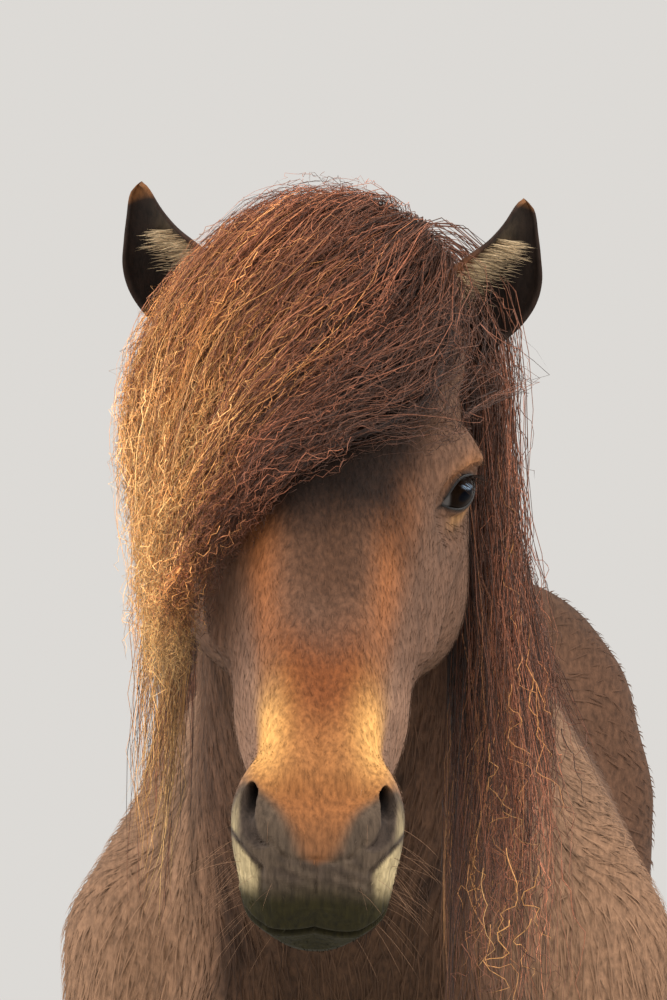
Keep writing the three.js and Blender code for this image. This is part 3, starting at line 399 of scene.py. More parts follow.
# %% The pose
HEAD_ROLL, BODY_YAW = math.radians(1.8), math.radians(1.8)
ROLL_AT, YAW_AT = 141, -30  # the height about which the head rolls, and the station where the body turns
HEAD_ASIDE, BODY_ASIDE = -0.35, 2.4  # how far each of them stands to the side
LEG_TOP = 78  # under this height the legs step
HIND_STEP, FORE_STEP = (5, -4), (-2, 1.5)  # how far back the left and the right foot stand
EYE = {"u": 18.6, "v": 8.1, "w": -7, "radius": 2.1}
GAZE = unit(np.array([0.77, -0.6, -0.22]))
EYE_LINE = np.array([2.15, 2, 1.7])  # from the inner to the outer corner
EYE_LINE = unit(EYE_LINE - GAZE * dot(EYE_LINE, GAZE))
EYE_UP = np.cross(GAZE, EYE_LINE)
EYE_CENTRE = from_head(EYE["u"], EYE["v"], EYE["w"])
BALL_CENTRE = EYE_CENTRE + np.array([-0.3, 0, 0.65])


def posed(points):
    x, y, z = points.T
    left = x > 0
    step = np.where(y > 60, np.where(left, *HIND_STEP), np.where(left, *FORE_STEP))
    on_leg = (z < LEG_TOP) & (y < 117.2) & (np.abs(x) > 3)
    y = np.where(on_leg, y + step * ease((LEG_TOP - z) / 60), y)
    turn = BODY_YAW * ease((points[:, 1] + 60) / 60)
    c, s = np.cos(turn), np.sin(turn)
    ahead = y - YAW_AT
    body = np.stack([x * c + ahead * s + BODY_ASIDE, ahead * c - x * s + YAW_AT, z], -1)
    rise, c, s = z - ROLL_AT, math.cos(HEAD_ROLL), math.sin(HEAD_ROLL)
    on_head = np.stack([x * c + rise * s + HEAD_ASIDE, y, ROLL_AT + rise * c - x * s], -1)
    return mix(on_head, body, ease((y + 56) / 40)[:, None])


low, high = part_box("eye_left")
ORIGIN = (np.array(low) + np.array(high)) / 2 - posed(EYE_CENTRE[None])[0] * CM
MIRROR = np.array([-1, 1, 1])
low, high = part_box("eye_right")
missed = (np.array(low) + np.array(high)) / 2 - posed(EYE_CENTRE[None] * MIRROR)[0] * CM - ORIGIN
print("origin", ORIGIN.round(4), "the other eye is off by", np.abs(missed).max().round(6))


def placed(points):
    """Finished points: posed, in metres, in the frame of the solids."""
    return posed(points) * CM + ORIGIN


# %% [markdown]
# ## Meshes by hand
# A few short helpers do what a hand would do in the window: pick objects, join them, turn their faces
# outwards, add a modifier and apply it, and move all the points of a mesh.

# %% Mesh helpers
def pick(*objects):
    bpy.ops.object.select_all(action="DESELECT")
    for piece in objects:
        piece.select_set(True)
    bpy.context.view_layer.objects.active = objects[0]


def join(*objects):
    """One object from several."""
    pick(*objects)
    bpy.ops.object.join()
    return bpy.context.object


def face_outwards(piece):
    pick(piece)
    bpy.ops.object.mode_set(mode="EDIT")
    bpy.ops.mesh.select_all(action="SELECT")
    bpy.ops.mesh.normals_make_consistent(inside=False)
    bpy.ops.object.mode_set(mode="OBJECT")


def finish_with(piece, kind, **settings):
    pick(piece)
    modifier = piece.modifiers.new(kind.lower(), kind)
    for name, value in settings.items():
        setattr(modifier, name, value)
    bpy.ops.object.modifier_apply(modifier=modifier.name)


def points_of(piece):
    flat = np.empty(len(piece.data.vertices) * 3)
    piece.data.vertices.foreach_get("co", flat)
    return flat.reshape(-1, 3) / CM


def move_points(piece, points):
    piece.data.vertices.foreach_set("co", np.ascontiguousarray(points * CM, np.float32).ravel())
    piece.data.update()


def new_mesh(name, points, faces):
    """A smooth mesh from points in centimetres and faces that all have the same number of corners."""
    faces = np.asarray(faces, np.int32)
    mesh = bpy.data.meshes.new(name)
    mesh.vertices.add(len(points))
    mesh.vertices.foreach_set("co", (np.asarray(points) * CM).astype(np.float32).ravel())
    mesh.loops.add(faces.size)
    mesh.loops.foreach_set("vertex_index", faces.ravel())
    mesh.polygons.add(len(faces))
    mesh.polygons.foreach_set("loop_start", np.arange(len(faces), dtype=np.int32) * faces.shape[1])
    mesh.update(calc_edges=True)
    mesh.polygons.foreach_set("use_smooth", np.full(len(faces), True))
    piece = bpy.data.objects.new(name, mesh)
    bpy.context.scene.collection.objects.link(piece)
    return piece


def paint(piece, **values):
    """Numbers for each point, kept on the mesh for the materials to read."""
    for name, value in values.items():
        layer = piece.data.attributes.new(name, "FLOAT", "POINT")
        layer.data.foreach_set("value", np.ascontiguousarray(value, np.float32))


# %% [markdown]
# ## The skin, roughed out
# A sculptor starts from balls and rolls of clay. Here every mass becomes a ball, every rod a cone with
# a ball at each end, and every hide a row of circles that are bridged. A mirror makes the other side,
# and a voxel remesh melts them all into one closed surface of even squares. It need not be exact,
# because the next step settles each point onto the field.

# %% Lumps of clay
def add_ball(centre, radii, lean=0):
    bpy.ops.mesh.primitive_uv_sphere_add(
        segments=20, ring_count=12, radius=CM, location=Vector(centre) * CM,
        rotation=(math.radians(lean), 0, 0), scale=radii,
    )
    return [bpy.context.object]


def add_rod(a, b, ra, rb):
    axis = Vector(b) - Vector(a)
    bpy.ops.mesh.primitive_cone_add(
        vertices=20, radius1=ra * CM, radius2=rb * CM, depth=axis.length * CM,
        location=(Vector(a) + Vector(b)) * (CM / 2), rotation=axis.to_track_quat("Z", "Y").to_euler(),
    )
    return [bpy.context.object, *add_ball(a, (ra, ra, ra)), *add_ball(b, (rb, rb, rb))]


def add_hide(rows):
    rings = []
    for station, top, bottom, _, half, *_ in rows:
        bpy.ops.mesh.primitive_circle_add(
            vertices=24, radius=CM, location=(0, station * CM, (top + bottom) * CM / 2),
            rotation=(math.radians(90), 0, 0),
        )
        rings.append(bpy.context.object)
        rings[-1].scale = (half * 0.93, (top - bottom) / 2, 1)
    tube = join(*rings)
    bpy.ops.object.mode_set(mode="EDIT")
    bpy.ops.mesh.select_all(action="SELECT")
    bpy.ops.mesh.bridge_edge_loops()
    bpy.ops.mesh.select_all(action="DESELECT")
    bpy.ops.mesh.select_mode(type="EDGE")
    bpy.ops.mesh.select_non_manifold()
    bpy.ops.mesh.fill_holes(sides=0)
    bpy.ops.object.mode_set(mode="OBJECT")
    return [tube]


LUMPS = {"ball": add_ball, "rod": add_rod, "hide": add_hide}


def clay(lumps, frame_of_part=Matrix()):
    """One object from the lumps of a part, whose own axes are turned into the body's."""
    bpy.ops.object.select_all(action="DESELECT")
    made = [piece for kind, *sizes in lumps for piece in LUMPS[kind](*sizes)]
    part = join(*made)
    bpy.ops.object.transform_apply(location=True, rotation=True, scale=True)
    part.data.transform(frame_of_part)
    return part


def frame_from(to_body):
    """The matrix of a part whose axes are side, station and height."""
    start, along, up = (np.array(to_body(*p)) for p in ((0, 0), (1, 0), (0, 1)))
    columns_of = [(1, 0, 0), (0, *(along - start)), (0, *(up - start))]
    turned = Matrix(columns_of).transposed().to_4x4()
    turned.translation = Vector((0, *start)) * CM
    return turned


NECK_FRAME = frame_from(lambda s, h: (
    NECK_BASE[0] - s * math.cos(NECK_RISE) + h * math.sin(NECK_RISE),
    NECK_BASE[1] + s * math.sin(NECK_RISE) + h * math.cos(NECK_RISE),
))
HEAD_FRAME = frame_from(lambda u, w: tuple(from_head(u, 0, w)[1:]))

# %% Melt the lumps into one skin
VOXEL = 1.14  # the side of one square of the skin


def largest_shell(piece):
    """The outer shell alone: melting leaves closed pockets inside."""
    pick(piece)
    bpy.ops.mesh.separate(type="LOOSE")
    shells = sorted(bpy.context.selected_objects, key=lambda shell: len(shell.data.vertices))
    for pocket in shells[:-1]:
        bpy.data.objects.remove(pocket)
    return shells[-1]


def rough_skin():
    skin = join(
        clay(trunk.clay + fore.clay + hind.clay),
        clay(neck_hide.clay, NECK_FRAME),
        clay(head_bones.clay, HEAD_FRAME),
    )
    face_outwards(skin)
    finish_with(skin, "MIRROR", use_bisect_axis=(True, False, False), merge_threshold=0.0005)
    finish_with(skin, "REMESH", mode="VOXEL", voxel_size=VOXEL * CM, adaptivity=0)
    return largest_shell(skin)


skin = rough_skin()
skin.name = skin.data.name = "skin"
print("the rough skin has", len(skin.data.polygons), "faces")

# %% [markdown]
# ## Settling the skin
# The coat stands a few millimetres off the skin: most on the body, less on the legs, least on the head.
# So the skin goes that deep under the solids' surface. A light smoothing before each move but the last
# keeps the squares even, and the moves bring back what it takes away.

# %% Settle the skin
def parts_at(points):
    """How much a point belongs to the head, and to the lower legs."""
    x, y, z = points.T
    u, w = to_head(y, z)
    on_head = ease((u + 3) / 6) * ease((-52 - y) / 6) * ease((w + 26) / 4)
    on_leg = ease((84 - z) / 24) * (np.abs(x) > 3)
    return on_head, on_leg


def coat_depth(points):
    on_head, on_leg = parts_at(points)
    return mix(mix(0.3, 0.22, on_leg), 0.14, on_head)


def settle_skin(piece, smoothings):
    for factor in (*smoothings, 0):
        if factor:
            finish_with(piece, "SMOOTH", factor=factor, iterations=2)
        points = points_of(piece)
        move_points(piece, settle(points, coat_depth(points), 2))


settle_skin(skin, (0.5, 0.5))
furthest = np.abs(flesh(points_of(skin)) + coat_depth(points_of(skin))).max()
print("furthest off its depth:", furthest.round(3), "cm")

# %% [markdown]
# ## Finer where it matters
# Squares of a centimetre are enough for a barrel, but not for an eyelid. Faces of the head are cut in
# four, those round the eye, the nostrils and the mouth twice more, and the skin settles after each cut.

# %% Refine the head
HEAD_FRONT = -54  # all that is worked out on the head lies in front of this


def flips_of(points):
    """What brings places on the right half to the left, where everything is worked out."""
    return np.sign(points[:, :1] + 1e-9) ** (1, 0, 0)


def face_space(points):
    """How far down the face places are, and how far out from it."""
    return to_head(points[:, 1], points[:, 2])


def eye_space(points):
    """Places seen from the eye: along its slit, up across it, and out along the gaze."""
    away = points * flips_of(points) - BALL_CENTRE
    return np.stack([away @ EYE_LINE, away @ EYE_UP, away @ GAZE], -1)


NOSTRIL = from_head(49.3, 4.15, -4.6)
NOSTRIL_OUT = unit(np.array([0.42, -0.88, -0.2]))
NOSTRIL_UP = np.array([-0.1, 0.1, 1])
NOSTRIL_UP = unit(NOSTRIL_UP - NOSTRIL_OUT * dot(NOSTRIL_UP, NOSTRIL_OUT))
NOSTRIL_ACROSS = np.cross(NOSTRIL_UP, NOSTRIL_OUT)


def nostril_space(points):
    """Places seen from the nostril: across it, up, and straight out."""
    away = points * flips_of(points) - NOSTRIL
    return np.stack([away @ NOSTRIL_ACROSS, away @ NOSTRIL_UP, away @ NOSTRIL_OUT], -1)


MOUTH_CORNER, MOUTH_LEVEL = 44.5, -9.3  # how far down the face it starts, and how far in from the face


def mouth_gap(points):
    """How far above or below the line of the lips, and how far past its corner."""
    u, w = face_space(points)
    line = MOUTH_LEVEL + 0.3 * np.sin((u - MOUTH_CORNER) / 11.5 * math.pi)
    return w - line, u - MOUTH_CORNER


def near(space, size):
    return np.linalg.norm(space, axis=1) < size


def refine(piece, chosen):
    """Cut the chosen faces in four."""
    centres = np.empty(len(piece.data.polygons) * 3)
    piece.data.polygons.foreach_get("center", centres)
    pick(piece)
    bpy.ops.object.mode_set(mode="EDIT")
    bpy.ops.mesh.select_mode(type="FACE")
    bpy.ops.mesh.select_all(action="DESELECT")
    bpy.ops.object.mode_set(mode="OBJECT")
    piece.data.polygons.foreach_set("select", chosen(centres.reshape(-1, 3) / CM))
    bpy.ops.object.mode_set(mode="EDIT")
    bpy.ops.mesh.subdivide(number_cuts=1, smoothness=0)
    bpy.ops.object.mode_set(mode="OBJECT")


def on_the_head(points):
    u, w = face_space(points)
    return (points[:, 1] < HEAD_FRONT) & (u > -1) & (w > -24)


def on_the_face(points):
    u, _ = face_space(points)
    return (u > 42.5) & (points[:, 1] < HEAD_FRONT) | near(eye_space(points), 6)


def on_the_rims(points):
    (u, _), (gap, past) = face_space(points), mouth_gap(points)
    lips, muzzle = (np.abs(gap) < 0.7) & (past > -1), u > 49.5
    mouth = (lips | muzzle) & (points[:, 1] < HEAD_FRONT)
    return near(eye_space(points), 3.5) | near(nostril_space(points), 3.6) | mouth


for chosen in (on_the_head, on_the_face, on_the_rims):
    refine(skin, chosen)
    settle_skin(skin, ())
print("the finer skin has", len(skin.data.polygons), "faces")

# %% [markdown]
# ## Eye sockets, nostrils and lips
# These are cut the way a sculptor presses them in. Inside the almond of the lids the skin sinks behind
# the eyeball, and round it a lid swells over the ball. A nostril is a comma: wide and deep above, with a
# tail that curves down and inwards, and a soft rim round it. Beside it the muzzle has a round pad, and
# creases run under the wing, down the lip and across.

# %% Press in the features
LID_CORNER, LID_RISE, LID_DROP, LID_OUT = 1.85, 1.25, 1, 0.2
LID_FOOT, LID_SLOPE = 1.75, 0.35  # how far out the lid is round, and how steeply it leaves there
SOCKET_REACH = 4.8, 2.8, 2.7, 3.6  # from the eye towards the nose, the ear, the brow and the cheek


def lid_edge(q, upper):
    return (LID_RISE if upper else -LID_DROP) * (1 - q**2)


def inside_lids(a, b):
    """Positive between the lids, about a distance from their edges."""
    q = np.clip(a / LID_CORNER, -1, 1)
    past = np.abs(a) - LID_CORNER
    return np.minimum(np.minimum(lid_edge(q, True) - b, b - lid_edge(q, False)), -past)


def lid_dome(across):
    """How far out the lids stand over the ball."""
    ball = EYE["radius"] + LID_OUT
    dome = np.sqrt(ball**2 - np.minimum(across, LID_FOOT) ** 2)
    return dome - LID_SLOPE * np.maximum(across - LID_FOOT, 0)


def tear_line(a, b):
    """One along the line on which tears run from the inner corner."""
    return bump(b + 0.16 * (a + 1.8), -0.1, 0.16)


def press_sockets(points):
    """How far each place moves along the gaze: lids, a dip towards the nose, and a pocket for the ball."""
    a, b, c = eye_space(points).T
    across = np.hypot(a, b) + 1e-6
    shares = [np.clip(s / across, 0, 1) ** 2 for s in (-a, a, b, -b)]
    reach = sum(share * size for share, size in zip(shares, SOCKET_REACH))
    skin_at = mix(lid_dome(across), c, ease((across - 1.5) / (reach - 1.5)))
    q = np.clip(a / 2.3, -1, 1)
    fold_over = 0.2 * bump(b - lid_edge(q, True) * 1.1, 0.62, 0.15) * (across < 2.8)
    fold_under = 0.1 * bump(b - lid_edge(q, False) * 1.1, -0.6, 0.16) * (across < 2.6)
    skin_at = skin_at - fold_over - fold_under
    tear = 0.22 * bump(a, -2.5, 0.5) * tear_line(a, b)
    behind = np.sqrt(np.maximum((EYE["radius"] * 0.86) ** 2 - across**2, 0))
    target = mix(skin_at - tear, behind, ease(inside_lids(a, b) / 0.16 + 0.5))
    return (target - c) * (c > -1) * (across < reach)


COMMA = [  # each arc starts at its first place, bends towards its second and ends at its third
    ((-0.15, 1.75), (0.65, 2.55), (0.98, 1.8)),
    ((0.98, 1.8), (1.2, 0.9), (0.6, 0)),
    ((0.6, 0), (0.2, -1.05), (-0.8, -1.5)),
    ((-0.8, -1.5), (-1.4, -1.65), (-1.75, -1.3)),
    ((-1.75, -1.3), (-0.9, -0.85), (-0.5, 0.3)),
    ((-0.5, 0.3), (-0.25, 1.1), (-0.15, 1.75)),
]


def comma_outline(steps=8):
    t = np.arange(steps)[:, None] / steps
    arcs = []
    for a, b, c in np.array(COMMA):
        arcs.append((1 - t) ** 2 * a + 2 * t * (1 - t) * b + t**2 * c)
    return np.concatenate(arcs)


def inside_outline(x, y, outline):
    """How deep inside a closed outline, negative outside."""
    ends = np.roll(outline, -1, 0)
    nearest, crossings = np.full(len(x), 1e3), np.zeros(len(x), int)
    for (ax, ay), (bx, by) in zip(outline, ends):
        t = np.clip(((x - ax) * (bx - ax) + (y - ay) * (by - ay)) / ((bx - ax) ** 2 + (by - ay) ** 2), 0, 1)
        nearest = np.minimum(nearest, np.hypot(x - mix(ax, bx, t), y - mix(ay, by, t)))
        if ay != by:
            crossings += ((ay > y) != (by > y)) & (x < ax + (y - ay) * (bx - ax) / (by - ay))
    return np.where(crossings % 2, nearest, -nearest)


def inside_nostril(points):
    """How deep inside the outline of a nostril, far outside everywhere else on the body."""
    space = nostril_space(points)
    return np.where(near(space, 4), inside_outline(*space[:, :2].T, comma_outline()), -9)


NOSTRIL_DEPTH = 2.5


def press_nostrils(points):
    """How far each place moves along the nostril's own way out."""
    a, b, c = nostril_space(points).T
    inside = inside_outline(a, b, comma_outline())
    deep = mix(0.42, NOSTRIL_DEPTH, ease(b / 1.2)) * mix(1, 0.5, ease((a - 0.1) / 0.7))
    rim = 0.16 * bump(inside, -0.34, 0.34) * ease((a + 1.2) / 1.2)
    return (rim - deep * ease((inside + 0.06) / 0.5)) * (c > -2.6) * near(np.stack([a, b, 0 * c], -1), 4)


def groove(points, start, end, width):
    """One along a line on the front of the muzzle, whose ends are a place to the side and a height."""
    v, z = np.abs(points[:, 0]), points[:, 2]
    (v0, z0), (v1, z1) = start, end
    t = np.clip(((v - v0) * (v1 - v0) + (z - z0) * (z1 - z0)) / ((v1 - v0) ** 2 + (z1 - z0) ** 2), 0, 1)
    return bump(np.hypot(v - mix(v0, v1, t), z - mix(z0, z1, t)), 0, width)


PAD_AT, PAD_RISE = (2.7, 120.1), 0.3  # to the side and in height, and how far it swells
CREASES = [  # ends, depth and width: under the wing, down the lip, under the pad, across, and the cleft
    ((5, 118.1), (3.66, 116.65), 0.26, 0.2),
    ((3.66, 116.65), (3.5, 115.3), 0.16, 0.2),
    ((3.1, 118.5), (2.1, 117.4), 0.16, 0.2),
    ((2.3, 117.55), (1.1, 117.2), 0.1, 0.22),
    ((1.1, 117.2), (0, 117.4), 0.1, 0.2),
    ((0, 117.3), (0, 115.2), 0.1, 0.13),
]


def muzzle_relief(points):
    """Round pads beside the nostrils, with creases below them."""
    x, y, z = points.T
    v, (u, _) = np.abs(x), face_space(points)
    move = PAD_RISE * bump(np.hypot(v - PAD_AT[0], z - PAD_AT[1]), 0, 1)
    for start, end, depth, width in CREASES:
        move = move - depth * groove(points, start, end, width) * ease((u - 48.4) / 1.4)
    move = move + 0.07 * waver(points, 0.22, 9) * bump(z, 115.6, 1.6)
    return move * ease((u - 46) / 1.5) * ease((5.6 - v) / 0.6) * (y < -80)


def press_features(points):
    side, (gap, past) = flips_of(points), mouth_gap(points)
    lips = -0.42 * bump(gap, 0, 0.16) + 0.1 * bump(gap, 0.45, 0.3) + 0.08 * bump(gap, -0.4, 0.25)
    lips = lips * ease(past / 1.5) * (points[:, 1] < HEAD_FRONT)
    moved = points + outward(points) * (lips + muzzle_relief(points))[:, None]
    moved = moved + GAZE * side * press_sockets(points)[:, None]
    return moved + NOSTRIL_OUT * side * press_nostrils(points)[:, None]


on_head = on_the_head(points_of(skin))
points = points_of(skin)
points[on_head] = press_features(points[on_head])
move_points(skin, points)
print("features pressed into", on_head.sum(), "points")

# %% [markdown]
# ## Ears
# A horse's ear is a leaf rolled into a cup, open to the front and the side. Each section is an arc
# with a thin wall. The arcs almost close at the foot, open upwards and narrow towards the tip. The right
# ear is pricked a little further out than the left.

# %% Ears
EAR_ROOT, EAR_TIP, EAR_WALL = np.array([8, -61.5, 151.2]), np.array([13.5, -65.4, 161.3]), 0.3
EAR_PRICKED = np.array([0.75, 0, 0.35])  # how much further out the right ear's tip stands
EAR_ROWS = columns([  # half width, depth, and the angle that half of the arc sweeps
    (1.9, 1.9, 125), (2.6, 2.3, 118), (3.3, 2.3, 108), (3.5, 2, 100),
    (3.1, 1.6, 95), (2.25, 1.1, 90), (1.5, 0.8, 88), (1.15, 0.6, 88),
])
EAR_AXIS = unit(EAR_TIP - EAR_ROOT)
EAR_OPEN = np.array([0.62, -0.78, 0])
EAR_OPEN = unit(EAR_OPEN - EAR_AXIS * dot(EAR_OPEN, EAR_AXIS))
EAR_ACROSS = np.cross(EAR_AXIS, EAR_OPEN)
EAR_LENGTH = float(np.linalg.norm(EAR_TIP - EAR_ROOT))


def ear_surface(t, a, wall):
    """A place on the ear: along it, round it from -1 to 1, and how far inside its outer face."""
    wide, deep, sweep = np.moveaxis(EAR_ROWS(t * 7), -1, 0)
    bow = np.sin(t * math.pi) * 0.9
    centre = EAR_ROOT + EAR_AXIS * (EAR_LENGTH * t)[:, None] + X * bow[:, None]
    centre = centre + EAR_OPEN * (bow * 0.4 - t * t * 0.6)[:, None]
    angle = np.radians(sweep) * a * (1 - wall * 0.3)
    wide = wide * np.sqrt(np.clip(1.02 - t**14, 0.02, 1)) * (1 + 0.3 * bump(t, 0.4, 0.24) * (a < 0))
    side = np.sin(angle) * np.maximum(wide - wall, 0.08)
    back = -np.cos(angle) * np.maximum(deep - wall, 0.06)
    return centre + EAR_ACROSS * side[:, None] + EAR_OPEN * back[:, None]


EAR_GRID = (40, 30)  # sections along the ear, and points across each face of one


def make_ear(side):
    rows, across = EAR_GRID
    t, a = lattice(np.linspace(0, 1, rows), np.linspace(-1, 1, across))
    wall = np.minimum(EAR_WALL, EAR_ROWS(t * 7)[:, 0] * 0.45)
    outer = ear_surface(t, a, 0 * wall).reshape(rows, across, 3)
    inner = ear_surface(t, a, wall).reshape(rows, across, 3)[:, ::-1]
    rings = np.concatenate([outer, inner], 1)
    if side == "right":
        rings = (rings + np.linspace(0, 1, rows)[:, None, None] * EAR_PRICKED) * MIRROR
    return tube_piece(f"ear_{side}", rings, side == "right")


def tube_piece(name, rings, flip=False):
    """A closed skin over rings of points, with a fan at each end."""
    count, sides = rings.shape[:2]
    points = np.concatenate([rings.reshape(-1, 3), rings[[0, -1]].mean(1)])
    i, j = np.meshgrid(np.arange(count - 1), np.arange(sides), indexing="ij")
    a, b = i * sides + j, i * sides + (j + 1) % sides
    quads = np.stack([a, b, b + sides, a + sides], -1).reshape(-1, 4)
    halves = np.concatenate([quads[:, [0, 1, 2]], quads[:, [0, 2, 3]]])
    j = np.arange(sides)
    k, last = (j + 1) % sides, (count - 1) * sides
    first_fan = np.stack([k, j, np.full(sides, count * sides)], -1)
    last_fan = np.stack([j + last, k + last, np.full(sides, count * sides + 1)], -1)
    faces = np.concatenate([halves, first_fan, last_fan])
    return new_mesh(name, points, faces[:, ::-1] if flip else faces)


ears = [make_ear(side) for side in ("left", "right")]
for ear in ears:
    face_outwards(ear)
body_count = len(skin.data.vertices)
join(skin, *ears)
skin_points = points_of(skin)
move_points(skin, placed(skin_points) / CM)
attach(skin, "root")
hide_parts("head", "ear_left", "ear_right", "neck", "torso", "foreleg_left", "foreleg_right",
            "hindleg_left", "hindleg_right")

# %% [markdown]
# ## Eyes
# A horse's eye is almost black and always wet. The ball is a sphere with a low bulge, the cornea, over
# the iris, whose pupil is a level slot. Just above its middle a pale patch is painted into its colour: a
# painted reflection of the sky. A soft dark rim lines both lids, and the upper one carries lashes. Ball
# and rims are made for the left eye and mirrored.

# %% Eyeballs
def from_eye(a, b, c):
    """A place in the body from the eye's own three axes."""
    return BALL_CENTRE + np.outer(a, EYE_LINE) + np.outer(b, EYE_UP) + np.outer(c, GAZE)


IRIS, CORNEA_BULGE = 1.3, 0.12
PUPIL = 0.75, 0.42  # half its width and half its height
PAINTED_SKY_REFLECTION = (0.76, 0.02), (0.2, 0.1)  # where the painted reflection of the sky lies on the ball, and how far it reaches


def make_eye(side):
    bpy.ops.object.select_all(action="DESELECT")
    bpy.ops.mesh.primitive_uv_sphere_add(segments=96, ring_count=56, radius=EYE["radius"] * CM)
    eye = bpy.context.object
    a, b, c = points_of(eye).T
    across = np.hypot(a, b)
    c = c + CORNEA_BULGE * ease((IRIS + 0.2 - across) / 0.6) * (c > 0)
    points = from_eye(a, b, c)
    # a pale patch high on the front of the ball: a painted reflection of the sky
    from_sky = (unit(points - BALL_CENTRE)[:, [0, 2]] - PAINTED_SKY_REFLECTION[0]) / PAINTED_SKY_REFLECTION[1]
    sky = ease((1 - np.hypot(*from_sky.T)) / 0.35) * (points[:, 1] < BALL_CENTRE[1])
    points = points * (MIRROR if side == "right" else 1)
    move_points(eye, placed(points) / CM)
    if side == "right":
        eye.data.flip_normals()
    eye.data.polygons.foreach_set("use_smooth", np.ones(len(eye.data.polygons), bool))
    eye.name = eye.data.name = f"eyeball_{side}"
    pupil = np.sqrt((a / PUPIL[0]) ** 2 + (b / PUPIL[1]) ** 2)
    front = c > 0
    paint(eye, pupil=ease((1.15 - pupil) / 0.3) * front, iris=ease((IRIS - across) / 0.15) * front,
          inner_corner=ease((-a - 1.15 + 0.25 * b) / 0.25), sky=sky)
    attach(eye, "root")
    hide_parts(f"eye_{side}")
    return eye


eyes = [make_eye(side) for side in ("left", "right")]
print("eyeballs:", [len(eye.data.polygons) for eye in eyes], "faces each")

# %% Rims of the lids
def roll(path, radii, sides=8):
    """Rings of points round a path, for a smooth roll of skin."""
    tangent = unit(np.gradient(path, axis=0))
    first = unit(np.cross(tangent, GAZE))
    second = np.cross(tangent, first)
    angle = np.arange(sides) / sides * 2 * math.pi
    turn = first[:, None] * np.cos(angle)[:, None] + second[:, None] * np.sin(angle)[:, None]
    return path[:, None] + turn * np.asarray(radii)[:, None, None]


def rims(side, steps=40, out=0.1):
    """The upper and the lower rim of one eye, thinner towards the corners."""
    made, q = [], np.linspace(-1, 1, steps)
    for upper, thick in ((True, 0.13), (False, 0.1)):
        a, b = q * LID_CORNER, lid_edge(q, upper)
        path = from_eye(a, b, np.sqrt((EYE["radius"] + out) ** 2 - a**2 - b**2))
        rings = roll(path, thick * np.sqrt(np.clip(1 - q**4, 0.1, 1)))
        made.append(tube_piece("rim", rings * (MIRROR if side == "right" else 1)))
    return made


lid_rims = join(*rims("left"), *rims("right"))
lid_rims.name = lid_rims.data.name = "lid_rims"
face_outwards(lid_rims)
move_points(lid_rims, placed(points_of(lid_rims)) / CM)
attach(lid_rims, "root")

# %% [markdown]
# ## Hooves
# A hoof is a slanting box of horn that grows down from the coronet, in fine rings that run round it
# level with the coronet. So it is a stack of outlines between the coronet's and the sole's, each pushed
# in or out a little for its ring.

# %% Horn
HOOF_RINGS, HOOF_SIDES = 56, 56
RIDGE, HORN_INSET = 0.035, 0.06  # how high a ring stands, and how far the horn stays inside the solid


def make_hoof(node):
    low, high = (np.array(corner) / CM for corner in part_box(node))
    middle, size = (low + high) / 2, high - low
    angle = np.arange(HOOF_SIDES) / HOOF_SIDES * 2 * math.pi
    side, ahead = np.sin(angle), -np.cos(angle)
    toe_to_heel = 0.5 - 0.5 * ahead  # nothing at the toe, one at the heel
    squash = (np.abs(side) ** 2.4 + np.abs(ahead) ** 2.4) ** (-1 / 2.4)
    rings = []
    for k in range(HOOF_RINGS):
        t = k / (HOOF_RINGS - 1)
        wide = mix(size[0] / 2, size[0] * 0.42, t) * (1 - 0.05 * bump(t, 0, 0.02))
        long = mix(size[1] / 2, size[1] * 0.4, t) * (1 - 0.05 * bump(t, 0, 0.02))
        back = size[1] * 0.085 * t
        ridge = RIDGE * np.sin(t * 62 + 0.6 * np.sin(3 * angle)) * ease(t * 8) + 0.12 * bump(t, 0.93, 0.06)
        x = middle[0] + side * squash * (wide + ridge - HORN_INSET)
        y = middle[1] + back + np.cos(angle) * squash * (long + ridge - HORN_INSET)
        top = mix(size[2] * 0.985, size[2] * 0.5, ease(toe_to_heel * 0.9))
        rings.append(np.stack([x, y, low[2] + t * top], -1))
    rings = np.stack(rings)
    hoof = tube_piece("horn" + node[4:], rings)
    face_outwards(hoof)
    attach(hoof, "root")
    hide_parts(node)
    return hoof


hooves = [make_hoof(f"hoof_{pair}_{side}") for pair in ("fore", "hind") for side in ("left", "right")]
print("hooves:", [len(hoof.data.polygons) for hoof in hooves])

# %% [markdown]
# ## Markings
# One function gives the coat's colour at any place, so that the skin and the tufts that stand on it
# always agree. It lays soft patches over one another, as a painter glazes: brown all over, paler sides,
# dark streaks on the breast, dark legs, a dark stripe down a foxy face, golden sides of the nose, and a
# grey muzzle with mealy corners. It paints light and shade too: the shoulders' paleness is partly a
# painted highlight, the dark forehead partly the forelock's painted shadow, and the nostrils, the line
# of the mouth and the cups of the ears get painted shade.

# %% Colours
def paint_of(code):
    """A colour from its usual six-figure code, as the linear numbers that shaders use."""
    channels = np.array([int(code[i : i + 2], 16) for i in (0, 2, 4)]) / 255
    return np.where(channels < 0.04045, channels / 12.92, ((channels + 0.055) / 1.055) ** 2.4)


PAINT = {name: paint_of(code) for name, code in {
    "brown": "553b2b", "shadow": "3a281a", "leg": "2c1f18", "pale": "84644c", "stripe": "503626",
    "crown": "150b06", "foxy": "86522f", "red": "74401f", "tan": "8b5a32", "gold": "d29b57",
    "cheek": "634838", "mauve": "846450", "grey": "483d32", "slate": "352b25", "cream": "ab9872",
    "lip": "1e1a04", "ear_hair": "c9b08c", "black": "100a07", "hair_root": "2c1b14",
    "hair_dark": "583a2c", "hair_red": "945a40", "hair_gold": "cc9356", "hair_tip": "e2b97c",
}.items()}
GREY_EDGE = [(116.6, -1), (117.4, 0.7), (118.7, 1.3), (119.6, 1.65), (120.6, 2.3), (121.6, 3.5), (122.4, 4.7)]
grey_from = curve_through(*zip(*GREY_EDGE))  # how far to the side the muzzle turns grey, by height


